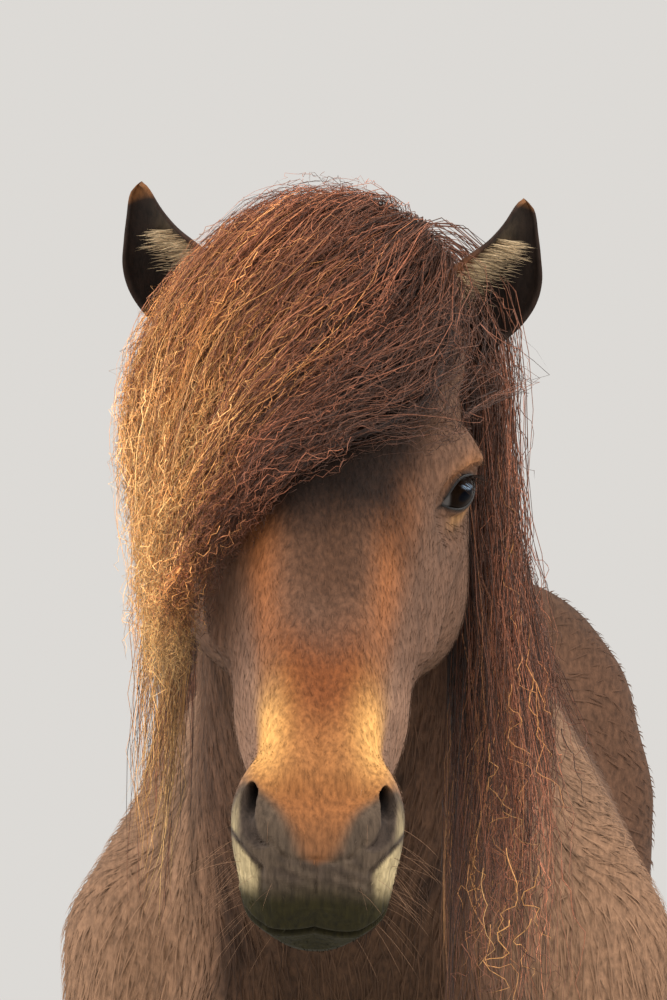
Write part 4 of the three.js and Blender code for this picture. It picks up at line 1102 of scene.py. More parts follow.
def glazed(colour, *layers):
    """The colours under layers of paint, each given by its name and its share at every place."""
    for name, share in layers:
        colour = mix(colour, PAINT[name], np.clip(share, 0, 1)[:, None])
    return colour


def all_over(name, count):
    return np.tile(PAINT[name], (count, 1))


def body_colours(points, rough):
    x, y, z = points.T
    v, patches = np.abs(x), waver(points, 9, 4)
    flanks = 0.5 * ease(0.3 + 0.7 * patches) * ease((z - 70) / 20) * ease((v - 9) / 8)
    # paler shoulders: partly their own paler coat, partly a painted highlight
    shoulder_pale_and_highlight = 0.8 * ease((v - 9 + 2 * patches) / 7) * ease((-y + 4) / 14) * ease((z - 84) / 14)
    belly = 0.35 * bump(z + 2 * rough, 72, 9) * (np.abs(y - 35) < 50) * ease((20 - v) / 8)
    back = 0.45 * ease((z - 124 + 3 * rough) / 12) * (y > -30)
    breast = 0.75 * ease((11 - v + 2 * patches) / 7) * ease((-14 - y) / 8)
    streaks = ease(waver(points * (1, 1, 0.2), 1, 6)) * ease((-12 - y) / 8) * ease((18 - v) / 5)
    return glazed(
        all_over("brown", len(points)),
        ("pale", flanks),
        ("pale", shoulder_pale_and_highlight),
        ("pale", belly),
        ("shadow", back),
        ("shadow", breast),
        ("crown", 0.6 * streaks * ease((126 - z) / 8)),
        ("leg", ease((64 - z + 4 * rough) / 26) * 0.9),
    )


def face_colours(points, rough):
    v, (u, w) = np.abs(points[:, 0]), face_space(points)
    foxy = bump(v + 0.3 * rough, 4.6, 2) * ease((u - 17 + rough) / 9) * ease((w + 5) / 3)
    return glazed(
        all_over("cheek", len(points)),
        ("shadow", 0.6 * ease((-w - 13) / 6)),
        ("mauve", 0.8 * ease((u - 34) / 5) * ease((-w - 2.6) / 2)),
        ("foxy", foxy * ease((44 - u) / 6)),
        ("stripe", ease((3.9 - v + 0.5 * rough) / 2.4) * ease((38 - u + rough) / 8)),
        ("red", 0.95 * ease((u - 33 + rough) / 6) * ease((4.2 - v + 0.4 * rough) / 2)),
        # dark forehead under the forelock: its own dark hair, and the forelock's painted shadow
        ("crown", 0.95 * ease((29.5 - u + rough) / 6) * ease((7 - v + rough) / 3.4)),
        ("tan", ease((u - 40.5 + rough) / 5) * ease((5.4 - v) / 1.6) * ease((w + 6.5) / 2)),
        ("gold", 0.95 * bump(v + 0.15 * rough, 3.6, 1.4) * bump(u, 43.3, 3.4) * ease((w + 5.8) / 2)),
    )


def with_muzzle(face, points, rough):
    """Grey beside the nose, mealy round the corners of the upper lip, slate in the creases."""
    v, z, (u, _) = np.abs(points[:, 0]), points[:, 2], face_space(points)
    low_nose, in_front = ease((u - 46) / 1.5), ease((u - 47.2) / 2.4)
    beside = ease((v - grey_from(z) + 0.5 * rough + 0.3) / 1.5)
    wing_foot = 116.65 + (v - 3.66) * 1.12  # the crease under the wing of the nostril
    lip_side = ease((v - 3.5 + 0.2 * rough) / 0.6) * ease((wing_foot - z) / 0.35) * ease((z - 113.2) / 2.6)
    above = ease((z - wing_foot - 0.1) / 0.4)
    wrinkles = ease(0.5 + waver(points, 0.3, 9)) * bump(z, 116.2, 1.3) * ease(3.4 - v)
    return glazed(
        face,
        ("red", 0.4 * ease((123.5 - z) / 3) * low_nose),
        ("grey", 0.35 * ease((121.5 - z) / 4) * low_nose),
        ("grey", 0.95 * beside * low_nose * ease((123 - z) / 0.8)),
        ("cream", 0.9 * lip_side * ease((u - 48.6) / 3)),
        ("slate", 0.6 * bump(z - wing_foot, 0.05, 0.2) * ease((v - 3.2) / 0.4) * in_front),
        ("cream", 0.85 * ease((v - 4.9 + 0.1 * rough) / 0.6) * ease((u - 46.9) / 3) * above),
        ("slate", 0.5 * wrinkles * low_nose),
        ("lip", 0.97 * ease((116.2 - z + 0.3 * rough) / 2) * ease((u - 46) / 3)),
    )


def with_eye(face, points):
    """Golden under the eye and tan over it, with slate lids and a slate tear line."""
    space = eye_space(points)
    a, b = space[:, :2].T
    round_eye = near(space, 7)
    return glazed(
        face,
        ("gold", 0.3 * bump(a, -0.5, 1.1) * bump(b, -1.8, 0.5) * round_eye),
        ("tan", 0.7 * bump(a, 0.2, 1.9) * bump(b, 2.1, 0.9) * round_eye),
        ("slate", 0.8 * ease((inside_lids(a * 0.93, b * 0.9) + 0.24) / 0.16) * round_eye),
        ("slate", 0.8 * bump(a, -2.4, 0.45) * tear_line(a, b) * round_eye),
    )


def markings(points):
    """The coat's colour at each place, with painted shade in the nostrils and along the mouth."""
    rough = waver(points, 2.2)
    on_head, _ = parts_at(points)
    face = with_eye(with_muzzle(face_colours(points, rough), points, rough), points)
    in_nostril, (gap, past) = inside_nostril(points), mouth_gap(points)
    deep = ease(nostril_space(points)[:, 1] + 0.2)
    return glazed(
        mix(body_colours(points, rough), face, on_head[:, None]),
        # painted shade: the skin darkens into each nostril, black where the hole is deep, and a black line
        # lies along the mouth
        ("slate", 0.8 * ease((in_nostril + 0.16) / 0.3)),
        ("black", ease((in_nostril - 0.1) / 0.3) * deep),
        ("black", 0.6 * bump(gap, 0, 0.12) * ease(past / 4) * on_head),
    )


def ear_colours(points, inside):
    """Dark outside and at the rim; inside, dark skin deepened with painted shade of the cup under a pale
    patch of hair, foxy low at the inner edge and tan at the tip.
    """
    away = points - EAR_ROOT
    t, across = away @ EAR_AXIS / EAR_LENGTH, away @ EAR_ACROSS
    inner_edge = ease((-across * np.sign(EAR_ACROSS[0]) - 0.4) / 1.6)
    return glazed(
        all_over("leg", len(points)),
        # the inside of the cup: dark skin, deepened with painted shade of the hollow
        ("black", 0.7 * inside),
        ("ear_hair", 0.35 * inside * bump(t, 0.46, 0.24) * bump(across, -0.3, 0.9)),
        ("foxy", 0.9 * inner_edge * ease((0.75 - t) / 0.4)),
        ("tan", 0.5 * ease((t - 0.95) / 0.05)),
    )


def paint_colour(piece, colours):
    layer = piece.data.attributes.new("coat", "FLOAT_COLOR", "POINT")
    rgba = np.concatenate([colours, np.ones((len(colours), 1))], 1).astype(np.float32)
    layer.data.foreach_set("color", rgba.ravel())


head_part, leg_part = parts_at(skin_points)
is_ear = np.arange(len(skin_points)) >= body_count
section = np.repeat([0.0, 1.0], EAR_GRID[1])  # the outer face of an ear's wall, then the inner one
inside_ear = np.tile(np.append(np.tile(section, EAR_GRID[0]), [0.0, 0.0]), 2)
skin_colours, ear_points = markings(skin_points), skin_points[is_ear]
skin_colours[is_ear] = ear_colours(ear_points * flips_of(ear_points), inside_ear)
paint_colour(skin, skin_colours)
paint(skin, on_head=np.where(is_ear, 0, head_part), on_leg=leg_part)
print("the skin's mean colour:", skin_colours.mean(0).round(3))

# %% [markdown]
# ## Hair as blades
# All hair, from the short coat to the tail, is made of the same thing: a closed blade with three sides,
# broad at the root and pointed at the tip, that follows a path. Thousands go into one mesh. On the
# mesh's map each blade has a tiny patch of its own. Short hairs have it at their root's place on the
# skin unrolled, long ones by their place along the row of roots and their depth in it.

# %% Blades
PATCH = 0.003  # how large each strand's patch is on its map


OWN_LIGHT = 0.3  # with soft, how much a blade's own sides still count


def blades(name, paths, width, roots, seed, facing=None, flat=0.6, taper=0.65, soft=None, **values):
    """Closed three-sided blades along the paths, each on its own small patch of the map.

    With soft, directions out of the skin, each blade takes the light almost as the skin under it does."""
    count, points = paths.shape[:2]
    rng = np.random.default_rng(seed)
    t = np.linspace(0, 1, points)
    tangent = unit(np.gradient(paths, axis=1))
    facing = unit(rng.normal(0, 1, (count, 3))) if facing is None else facing
    sideways = unit(np.cross(tangent, facing[:, None]))
    upward = np.cross(sideways, tangent)
    half = (np.broadcast_to(width, count)[:, None] / 2 * (1 - taper * t**1.5))[..., None]
    rings = []
    for a in (math.pi / 2, math.pi * 7 / 6, math.pi * 11 / 6):
        rings.append(paths + (sideways * math.cos(a) + upward * (math.sin(a) * flat)) * half)
    rings = np.stack(rings, 2)[:, :-1].reshape(count, -1, 3)
    corners = np.concatenate([rings, paths[:, -1:]], 1)
    each = corners.shape[1]
    faces = [(0, 1, 2)]
    for k in range(points - 2):
        for j in range(3):
            a, b = 3 * k + j, 3 * k + (j + 1) % 3
            faces += [(b, a, b + 3), (b + 3, a, a + 3)]
    last = 3 * (points - 2)
    faces += [(last + (j + 1) % 3, last + j, each - 1) for j in range(3)]
    faces = (np.array(faces)[None] + (np.arange(count) * each)[:, None, None]).reshape(-1, 3)
    piece = new_mesh(name, placed(corners.reshape(-1, 3)) / CM, faces)
    along = np.append(np.repeat(t[:-1], 3), 1)
    paint(piece, along=np.tile(along, count), **{k: np.repeat(v, each) for k, v in values.items()})
    across = np.append(np.tile([0, 0.5, 1], points - 1), 0.5)
    spots = np.stack([across, along], -1)[None] * PATCH + np.clip(roots, 0, 1 - PATCH)[:, None]
    layer = piece.data.uv_layers.new(name="OFBake")
    layer.data.foreach_set("uv", spots.reshape(-1, 2)[faces.ravel()].astype(np.float32).ravel())
    if soft is not None:
        own = unit(corners - np.concatenate([np.repeat(paths[:, :-1], 3, 1), paths[:, -2:-1]], 1))
        mixed = unit(own * OWN_LIGHT + soft[:, None]).reshape(-1, 3)
        piece.data.normals_split_custom_set_from_vertices(mixed.tolist())
    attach(piece, "root")
    return piece


# %% [markdown]
# ## Planting the coat
# Short fur lies flat, and most of it is a fine grain in the skin's finish. What a grain can't do is
# break the outline and catch the light tuft by tuft. So tufts are planted all over, thick where the
# photo looks and on the breast, short on the face and the legs, each laid along the way the hair grows:
# down the face, back and down the neck, back along the barrel and down the legs.

# %% Tufts of the coat
def triangles_of(piece):
    piece.data.calc_loop_triangles()
    corners = np.empty(len(piece.data.loop_triangles) * 3, np.int32)
    piece.data.loop_triangles.foreach_get("vertices", corners)
    return corners.reshape(-1, 3)


ROOT_DEPTH = 0.12  # how deep in the skin a tuft starts


def scatter(density, count, seed):
    """Roots spread over the skin, as many on each patch as its area and the density ask."""
    rng = np.random.default_rng(seed)
    corners = skin_points[skin_triangles]
    area = np.linalg.norm(np.cross(corners[:, 1] - corners[:, 0], corners[:, 2] - corners[:, 0]), axis=1)
    weight = np.cumsum(area * density(corners.mean(1)))
    chosen = np.searchsorted(weight, (np.arange(count) + rng.uniform(0, 1, count)) / count * weight[-1])
    a, b = np.sqrt(rng.uniform(0, 1, count)), rng.uniform(0, 1, count)
    shares = np.stack([1 - a, a * (1 - b), a * b], -1)
    return np.einsum("nc,ncx->nx", shares, corners[np.minimum(chosen, len(corners) - 1)])


def lie(points, normals, rng, stray):
    """The way the hair grows, along the skin."""
    x, y, z = points.T
    on_head, on_leg = parts_at(points)
    back = ease((y + 40) / 45)[:, None]
    way = mix(np.array([0, 0.3, -0.95]), np.array([0, 0.9, -0.42]), back)
    way = mix(way, np.array([0, 0.0, -1.0]), ease((-18 - y) / 10)[:, None] * ease((125 - z) / 10)[:, None])
    way = mix(way, np.array([0, 0.12, -1.0]), on_leg[:, None])
    down_face = from_head(1, 0, 0) - from_head(0, 0, 0)
    way = mix(way, down_face, on_head[:, None])
    way = way + rng.normal(0, stray, (len(points), 3))
    return unit(way - normals * dot(way, normals)[:, None])


def unwrap(points):
    """Each part of the skin unrolled round its own axis, into its own strip of the map."""
    x, y, z = points.T
    on_head, on_leg = parts_at(points)
    u, w = to_head(y, z)
    trunk_strip = np.stack([0.02 + 0.4 * (y + 60) / 180, 0.5 + np.arctan2(x, z - 103) / math.pi * 0.48], -1)
    head_strip = np.stack([0.46 + 0.2 * (u + 4) / 60, 0.5 + np.arctan2(x, w + 9) / math.pi * 0.48], -1)
    leg = 2.0 * (y > 50) + (x > 0)
    round_leg = np.arctan2(np.abs(x) - 12.7, y - np.where(y > 50, 108, 0)) / math.pi
    leg_strip = np.stack([0.7 + 0.07 * leg + 0.03 * round_leg, z / 90], -1)
    spots = np.where((on_leg > 0.5)[:, None], leg_strip, trunk_strip)
    return np.where((on_head > 0.5)[:, None], head_strip, spots)


def plant(name, count, seed, density, length, width, raised, speckle, stray=0.18, points=3):
    """Tufts over the skin. Density, length and width are functions of the place."""
    rng = np.random.default_rng(seed)
    roots = scatter(density, count, seed)
    normals = outward(roots)
    way = lie(roots, normals, rng, stray)
    depth = -flesh(roots)
    size = length(roots) * rng.uniform(0.7, 1.25, count)
    path = [roots - normals * ROOT_DEPTH]
    for k in range(1, points):
        t = k / (points - 1)
        at = roots + way * (size * t)[:, None]
        lift = depth - (depth - 0.02 + raised * rng.uniform(0.2, 1.4, count)) * t**0.8
        path.append(at - outward(at) * (flesh(at) + lift)[:, None])
    piece = blades(name, np.stack(path, 1), width(roots) * rng.uniform(0.7, 1.2, count), unwrap(roots), seed,
                   facing=normals, flat=0.3, taper=0.5, soft=normals, shade=rng.uniform(0, 1, count))
    colours = markings(roots) * rng.uniform(1 - speckle, 1 + speckle, (count, 1))
    paint_colour(piece, np.repeat(colours, 3 * (points - 1) + 1, axis=0))
    return piece


skin_triangles = triangles_of(skin)
skin_triangles = skin_triangles[(skin_triangles < body_count).all(1)]


def hair_grows(points):
    """One where hair grows, nothing in the eye, the nostrils and the mouth."""
    space, (gap, past) = eye_space(points), mouth_gap(points)
    eye = (inside_lids(*space[:, :2].T) > -1.25) & near(space, 5)
    lips = (np.abs(gap) < 0.25) & (past > 0) & (points[:, 1] < HEAD_FRONT)
    return 1.0 - (eye | (inside_nostril(points) > -0.25) | lips)


def from_lids(points):
    """How far outside the lids a place is."""
    space = eye_space(points)
    return np.where(near(space, 6), -inside_lids(*space[:, :2].T), 6)


def even(size):
    return lambda points: np.full(len(points), size)


face_coat = plant(
    "coat_face", 14500, 11,
    lambda p: (parts_at(p)[0] > 0.4) * hair_grows(p) * mix(1, 0.3, ease((face_space(p)[0] - 46) / 3)),
    lambda p: mix(1.1, 0.4, ease((face_space(p)[0] - 34) / 12)) * mix(0.2, 1, ease(from_lids(p) / 5)),
    even(0.085), raised=0.02, speckle=0.12,
)
front_coat = plant(
    "coat_front", 13500, 12,
    lambda p: (parts_at(p)[0] < 0.5) * ease((-2 - p[:, 1]) / 12) * (p[:, 2] > 62),
    lambda p: mix(3, 5.4, ease((114 - p[:, 2]) / 20)), even(0.14), raised=0.1, stray=0.16, speckle=0.3,
)
body_coat = plant(
    "coat_body", 9900, 13,
    lambda p: (ease((p[:, 1] + 16) / 12) + (p[:, 2] < 66)) * (p[:, 2] > 60),
    even(3), even(0.2), raised=0.06, stray=0.12, speckle=0.12,
)
leg_coat = plant(
    "coat_legs", 6500, 14,
    lambda p: (p[:, 2] < 64) * mix(1, 0.6, ease((p[:, 2] - 24) / 20)),
    lambda p: mix(1.1, 2, ease((p[:, 2] - 50) / 14)), even(0.13), raised=0.04, speckle=0.15,
)
print("tufts:", [len(piece.data.polygons) for piece in (face_coat, front_coat, body_coat, leg_coat)])

# %% [markdown]
# ## Long hair
# A mane is not a cloud of single hairs: they stick together in locks, which start broad at the root,
# draw together towards the tip and wave as one. So the hair is planned in three steps. A few guides
# are led over the body, so that no hair cuts through it. Locks choose their places among the guides.
# And each lock holds its strands, which keep a little way of their own.

# %% Guides and strands
def kept_off(points, distance, rounds=2):
    """Points moved straight out until they lie at least this far from the flesh."""
    for _ in range(rounds):
        short = np.maximum(distance - flesh(points), 0)
        points = points + outward(points) * short[:, None]
    return points


HOW_FAR = (-0.04, 1.06), (0, 1.5), (0, 1)  # strands may lie a little outside the guides, which then lead on


def led(grid):
    """A smooth place among guides: by place across, lift off the body and share of the length."""
    sizes = np.array(grid.shape[:3]) - 1

    def at(place, lift, t):
        spots = [np.clip(q, *limits) * n for q, limits, n in zip((place, lift, t), HOW_FAR, sizes)]
        cells = [np.clip(s.astype(int), 0, n - 1) for s, n in zip(spots, sizes)]
        total = 0
        for corner in np.ndindex(2, 2, 2):
            share = 1
            for spot, cell, step in zip(spots, cells, corner):
                share = share * (spot - cell if step else 1 - spot + cell)
            i, j, k = (cell + step for cell, step in zip(cells, corner))
            total = total + grid[i, j, k] * share[..., None]
        return total

    return at


def grow(guides, seed, locks, strands, points, length, spread, wave, frizz,
         place=(0, 1), lift=(0, 1), gather=0.7, ends=(0.7, 1), begin=(0, 0), crowd=1, kink=0.0):
    """Strands in locks. Returns their paths, and for each strand its lock's and its own draws.

    Spread, wave and frizz are given across and in depth, the last two also with how often they bend."""
    rng = np.random.default_rng(seed)
    chosen = ((np.arange(locks) + rng.uniform(0.1, 0.9, locks)) / locks) ** crowd
    lock = {
        "place": mix(*place, chosen),
        "lift": rng.uniform(*lift, locks),
        "length": rng.uniform(*length, locks),
        "phase": rng.uniform(0, 2 * math.pi, (2, locks)),
        "size": rng.uniform(0.4, 1, locks),
        "tone": rng.uniform(0, 1, locks),
    }
    own = np.repeat(np.arange(locks), strands)
    count = len(own)
    t = np.linspace(0, 1, points)
    closing = (1 - gather * ease(t))[None]
    away = rng.normal(0, 1, (2, count)) * np.array(spread)[:, None]
    phase = lock["phase"][:, own] + rng.normal(0, 0.35, (2, count))
    own_phase = rng.uniform(0, 2 * math.pi, (2, count))
    loose = ease(t * 3)[None] * lock["size"][own][:, None]
    fuzz = ease(t * 2)[None] * rng.uniform(0.2, 1, count)[:, None]
    spots = []
    for k, middle in enumerate((lock["place"][own], lock["lift"][own])):
        bend = wave[k] * np.sin(phase[k][:, None] + t * wave[2]) * loose
        bend = bend + frizz[k] * np.sin(own_phase[k][:, None] + t * frizz[2]) * fuzz
        spots.append(middle[:, None] + away[k][:, None] * closing + bend)
    reach = lock["length"][own] * rng.uniform(*ends, count)
    start = rng.uniform(*begin, count)
    along = start[:, None] + t * reach[:, None]
    paths = guides(spots[0], spots[1], along)
    paths = paths + rng.normal(0, 1, paths.shape) * (kink * ease(t * 4) * (t < 1))[None, :, None]
    return paths, {"lock_tone": lock["tone"][own], "tone": rng.uniform(0, 1, count), "along": along,
                   "lift": np.clip(spots[1].mean(1), 0, 1),
                   "root": np.stack([spots[0][:, 0], mix(spots[1][:, 0], 1, start)], -1)}


# %% [markdown]
# ## Mane
# The mane grows along the crest from the poll almost to the withers. Its guides rise out of the crest,
# bend over to one side and then march down the neck, always pulled towards the ground and always kept
# off the flesh. The hair parts on the crest: the longer half falls to the left, the rest to the right.

# %% Mane guides
CREST = (-58.4, -8)  # from the poll to where the mane ends
MANE_ROOT, MANE_LENGTH, MARCH = 1.4, 76, 42  # depth of the roots, length, and steps of the march


def crest_height(y):
    """Where the top of the neck is at each place along it."""
    low, high = np.full(len(y), 118.0), np.full(len(y), 175.0)
    for _ in range(18):  # each round halves what is still unsure
        middle = (low + high) / 2
        inside = flesh(np.stack([0 * y, y, middle], -1)) < 0
        low, high = np.where(inside, middle, low), np.where(inside, high, middle)
    return low


def mane_guides(places=22, lifts=5, front=3.7, rear=2.6):
    place, lift = lattice(np.linspace(0, 1, places), np.linspace(0, 1, lifts))
    drift = mix(0, 0.115, lift) * (1 - 0.95 * place)
    step = MANE_LENGTH / MARCH * (1 - 0.72 * place**1.5)[:, None]
    lift = 0.2 + lift * mix(front, rear, place)
    y = mix(*CREST, place)
    at = np.stack([np.full(len(y), 0.1), y, crest_height(y) - MANE_ROOT], -1)
    heading = np.tile([0.05, 0, 1], (len(y), 1))
    path = [at]
    for k in range(MARCH):
        fall = unit(np.stack([drift, mix(-0.03, 0.05, place), np.full(len(y), -1.0)], -1))
        heading = unit(mix(heading, fall, 0.3 if k < 2 else 0.42))
        at = kept_off(at + heading * step, mix(-MANE_ROOT, lift, min(k / 4, 1)))
        path.append(at)
    return led(np.stack(path, 1).reshape(places, lifts, MARCH + 1, 3))


mane_at = mane_guides()


def mane_at_right(*spots):
    return mane_at(*spots) * MIRROR


print("the mane hangs to", mane_at(np.array([0.5]), np.array([0.5]), np.array([1.0])).round(1))

# %% Mane
def hair_colours(paths, draws, bleach):
    """Dark at the roots and bleached by the sun towards the tips, some locks more than others, with painted
    shade on the strands that lie low in the hair.
    """
    count, points = paths.shape[:2]
    t = draws["along"].ravel()
    sun = np.repeat(bleach * mix(0.6, 1.4, draws["lock_tone"]), points) * mix(0.2, 1.15, ease(t * 1.3))
    sun = sun + np.repeat(draws["tone"] - 0.5, points) * 0.5
    colour = glazed(
        all_over("hair_root", count * points),
        ("hair_dark", ease(t * 5 + 0.4)),
        ("hair_red", ease((sun - 0.05) / 0.5)),
        ("hair_gold", ease((sun - 0.45) / 0.5)),
        ("hair_tip", 0.8 * ease((sun - 0.9) / 0.5)),
    )
    # strands low in the hair are painted darker, as painted shade; each lock also gets a tone of its own at
    # random
    depth_shade_and_lock_tone = mix(0.42, 1.35, draws["lift"]) * mix(0.45, 1.5, (draws["lock_tone"] * 7.3) % 1)
    colour = colour * np.repeat(depth_shade_and_lock_tone, points)[:, None]
    rings = colour.reshape(count, points, 3)
    return np.concatenate([np.repeat(rings[:, :-1], 3, axis=1), rings[:, -1:]], 1).reshape(-1, 3)


def make_hair(name, paths, draws, width, bleach, seed):
    piece = blades(name, paths, width, draws["root"], seed, shade=draws["tone"])
    paint_colour(piece, hair_colours(paths, draws, bleach))
    return piece


def under_hair(name, guides, count, width, seed, start, length, lift=(0.02, 0.1), points=14):
    """Broad ribbons low in the hair, dark in the hair's own colour and darker still with painted shade, so
    that no skin shows between the strands.

    They run from start to length, both as shares of the guides, so that no ribbon shows at the roots."""
    rng = np.random.default_rng(seed)
    place, t = (np.arange(count) + 0.5) / count, np.linspace(0, 1, points)
    depth, nothing, middle = rng.uniform(*lift, count), np.zeros(count), np.full(count, 0.4)
    along = np.broadcast_to(mix(start, length, t), (count, points))
    paths = guides(np.repeat(place[:, None], points, 1), np.repeat(depth[:, None], points, 1), along)
    facing = unit(guides(place, nothing + 1, middle) - guides(place, nothing, middle))
    draws = {"lock_tone": nothing, "tone": rng.uniform(0.2, 0.5, count), "along": np.tile(t, (count, 1)),
             "lift": nothing, "root": np.stack([place, nothing], -1)}
    piece = blades(name, paths, width, draws["root"], seed, facing=facing, flat=0.3, taper=0.8,
                   shade=draws["tone"])
    paint_colour(piece, hair_colours(paths, draws, 0.25))
    return piece


def make_mane(name, side, seed, bleach, front, **plan):
    """Hair of one side of the mane, more bleached near the face."""
    paths, draws = grow(mane_at, seed, **plan)
    paths = paths if side > 0 else paths * MIRROR
    sunny = bleach + front * ease((0.22 - draws["root"][:, 0]) / 0.14) * draws["lock_tone"]
    return make_hair(name, paths, draws, 0.1, sunny, seed)


mane = [
    make_mane("mane_left", 1, 1, locks=84, strands=23, points=16, bleach=0.1, front=0.35, length=(0.66, 1),
              crowd=1.5, wave=(0.02, 0.2, 11), frizz=(0.006, 0.08, 40), spread=(0.025, 0.16), kink=0.07,
              gather=0.5, ends=(0.8, 1)),
    make_mane("mane_frizz_left", 1, 21, locks=220, strands=5, points=15, bleach=0.15, front=0.5,
              length=(0.08, 0.14), begin=(0.12, 0.8), crowd=1.5, lift=(0.2, 1.05), gather=-1,
              spread=(0.02, 0.1), wave=(0.01, 0.1, 5), frizz=(0.008, 0.1, 14), kink=0.11),
    make_mane("mane_right", -1, 2, locks=60, strands=22, points=14, bleach=0.3, front=0.6,
              length=(0.58, 0.84), crowd=1.7, wave=(0.02, 0.2, 11), frizz=(0.006, 0.08, 36),
              spread=(0.025, 0.1), kink=0.07, lift=(0.05, 0.65), gather=0.5),
    under_hair("mane_core_left", mane_at, 46, 1.5, 31, length=0.62, start=0.2),
    under_hair("mane_core_right", mane_at_right, 42, 1.5, 32, length=0.46, start=0.2),
]
print("mane:", [len(piece.data.polygons) for piece in mane])

# %% [markdown]
# ## Forelock
# The forelock springs from between the ears, is swept across the forehead to the horse's right and
# falls there over the eye. Three strands, drawn one by one, lead it: the outermost, one in the middle and
# the innermost, low on the brow. Wind and rain have crimped it, so besides the long strands it gets two
# layers of short crinkled ones that start anywhere along it, and a few that fly off on their own.

# %% Forelock
FORELOCK_OUTER = columns([
    (-2.0, -59, 157.6), (-4.4, -62.6, 159.4), (-8.4, -66, 157), (-11.6, -68, 153.2), (-13.7, -69, 148.8),
    (-14.2, -70, 144.6), (-13.3, -70.5, 139.4), (-11.8, -71, 132), (-11, -72, 125),
])
FORELOCK_MIDDLE = columns([
    (2.8, -59.4, 158.4), (3, -64, 161.2), (-1.6, -69.5, 159.6), (-6.2, -72.5, 155), (-9.2, -74.5, 149.4),
    (-10.8, -76, 143.6), (-11, -77, 138), (-10.8, -77.5, 132), (-10.4, -77.5, 126.4),
])
FORELOCK_INNER = columns([
    (6.2, -60, 158), (8.6, -64.6, 156.4), (8.2, -70, 150), (5.2, -74.5, 145.6), (0.4, -78, 143.4),
    (-4.4, -81, 140.8), (-7.4, -81, 137.4), (-9.2, -80.5, 133.4), (-9.8, -80, 129.6),
])
CLEAR = 0.5  # how far the lowest hairs stay off the face


def forelock_guides(places=21, lifts=5, steps=40):
    place, lift, t = lattice(np.linspace(0, 1, places), np.linspace(0, 3, lifts), np.linspace(0, 1, steps))
    shares = 2 * (place - 0.5) * (place - 1), 4 * place * (1 - place), 2 * place * (place - 0.5)
    led_by = FORELOCK_OUTER, FORELOCK_MIDDLE, FORELOCK_INNER
    at = sum(share[:, None] * strand(t * 8) for share, strand in zip(shares, led_by))
    lift = lift * mix(0.7, 1, ease(place * 2.5))
    at = at + outward(at) * mix(0, lift - 1.8, ease(t * 4))[:, None]
    at = kept_off(at, mix(-MANE_ROOT, lift + CLEAR, ease(t * 5)), 3)
    return led(at.reshape(places, lifts, steps, 3))


def make_forelock(name, seed, width, tips, **plan):
    paths, draws = grow(forelock_at, seed, **plan)
    across = draws["root"][:, 0]
    # how bleached each strand is across the forelock; the innermost strands, low under its sweep, are held
    # dark: painted shade
    sunny = mix(0.74, 0.68, ease(across * 1.1)) - 0.7 * ease((across - 0.7) / 0.26)
    sunny = sunny + tips * draws["along"].mean(1) ** 2
    return make_hair(name, paths, draws, width, sunny, seed)


forelock_at = forelock_guides()
forelock = [
    make_forelock("forelock", 3, 0.08, 0.8, locks=70, strands=17, points=20, length=(0.66, 1),
                  spread=(0.03, 0.2), lift=(0, 0.9), wave=(0.035, 0.2, 8), frizz=(0.014, 0.12, 34),
                  kink=0.12, gather=0.6),
    make_forelock("forelock_frizz", 5, 0.055, 0.7, locks=640, strands=4, points=14, length=(0.07, 0.12),
                  begin=(0.1, 0.85), lift=(0.45, 1.08), spread=(0.03, 0.13), gather=-1.2, wave=(0.01, 0.1, 4),
                  frizz=(0.012, 0.14, 15), place=(0, 1.04), kink=0.17),
    make_forelock("forelock_crimp", 7, 0.055, 0.7, locks=440, strands=5, points=14, length=(0.08, 0.13),
                  begin=(0.2, 0.9), lift=(0.3, 1), spread=(0.04, 0.15), gather=-0.8, wave=(0.01, 0.1, 4),
                  frizz=(0.012, 0.14, 17), place=(0, 1.05), kink=0.17),
    make_forelock("forelock_flyaway", 6, 0.045, 0.2, locks=60, strands=3, points=24, length=(0.3, 0.7),
                  begin=(0, 0.5), lift=(0.9, 1.1), spread=(0.06, 0.2), gather=-0.6, wave=(0.05, 0.35, 7),
                  frizz=(0.006, 0.08, 22), kink=0.03),
    under_hair("forelock_core", forelock_at, 30, 1.6, 33, length=0.6, start=0.14),
]
print("forelock:", [len(piece.data.polygons) for piece in forelock])

# %% [markdown]
# ## Tail
# The dock is a short fleshy root, and the hair hangs from all round it almost to the fetlocks, widest
# below the buttocks and drawn in again at the end.

# %% Tail
DOCK = columns([(112, 120.6), (118, 119.8), (121.6, 115.4), (123, 106), (123.4, 90), (123.4, 74)])
TAIL_END, TAIL_Y, TAIL_FLAT = 23, 123.4, 0.68  # where it ends, where it hangs, and how flat it is
TAIL_FRONT, ROOTS_SUNK = 5.8, 3.6  # how far forward the hair reaches, and how deep its roots lie in the flesh
TAIL_HALF = [(-121, 3.2), (-114, 5), (-102, 7), (-86, 8.6), (-66, 9), (-44, 7.6), (-22, 4)]
tail_half = curve_through(*zip(*TAIL_HALF))  # half of its width, by how far down, as a negative height


def tail_guides(places=25, lifts=5, steps=30):
    place, depth, t = lattice(np.linspace(0, 1, places), np.linspace(0, 1, lifts), np.linspace(0, 1, steps))
    dock_y, top = np.moveaxis(DOCK(mix(3, 0.9, depth)), -1, 0)
    z = mix(top, TAIL_END, t**1.3)
    angle = place * 2 * math.pi
    out = mix(1.5, tail_half(-z) * mix(0.35, 1, depth) * (1 - 0.3 * t * t), ease(t * 3.5 + 0.05))
    y = mix(dock_y, TAIL_Y, ease(t * 3)) + np.cos(angle) * out * TAIL_FLAT
    y = np.maximum(y, TAIL_Y - TAIL_FRONT) - ROOTS_SUNK * (1 - ease(t * 7))
    at = np.stack([np.sin(angle) * out, y, z], -1)
    return led(at.reshape(places, lifts, steps, 3))


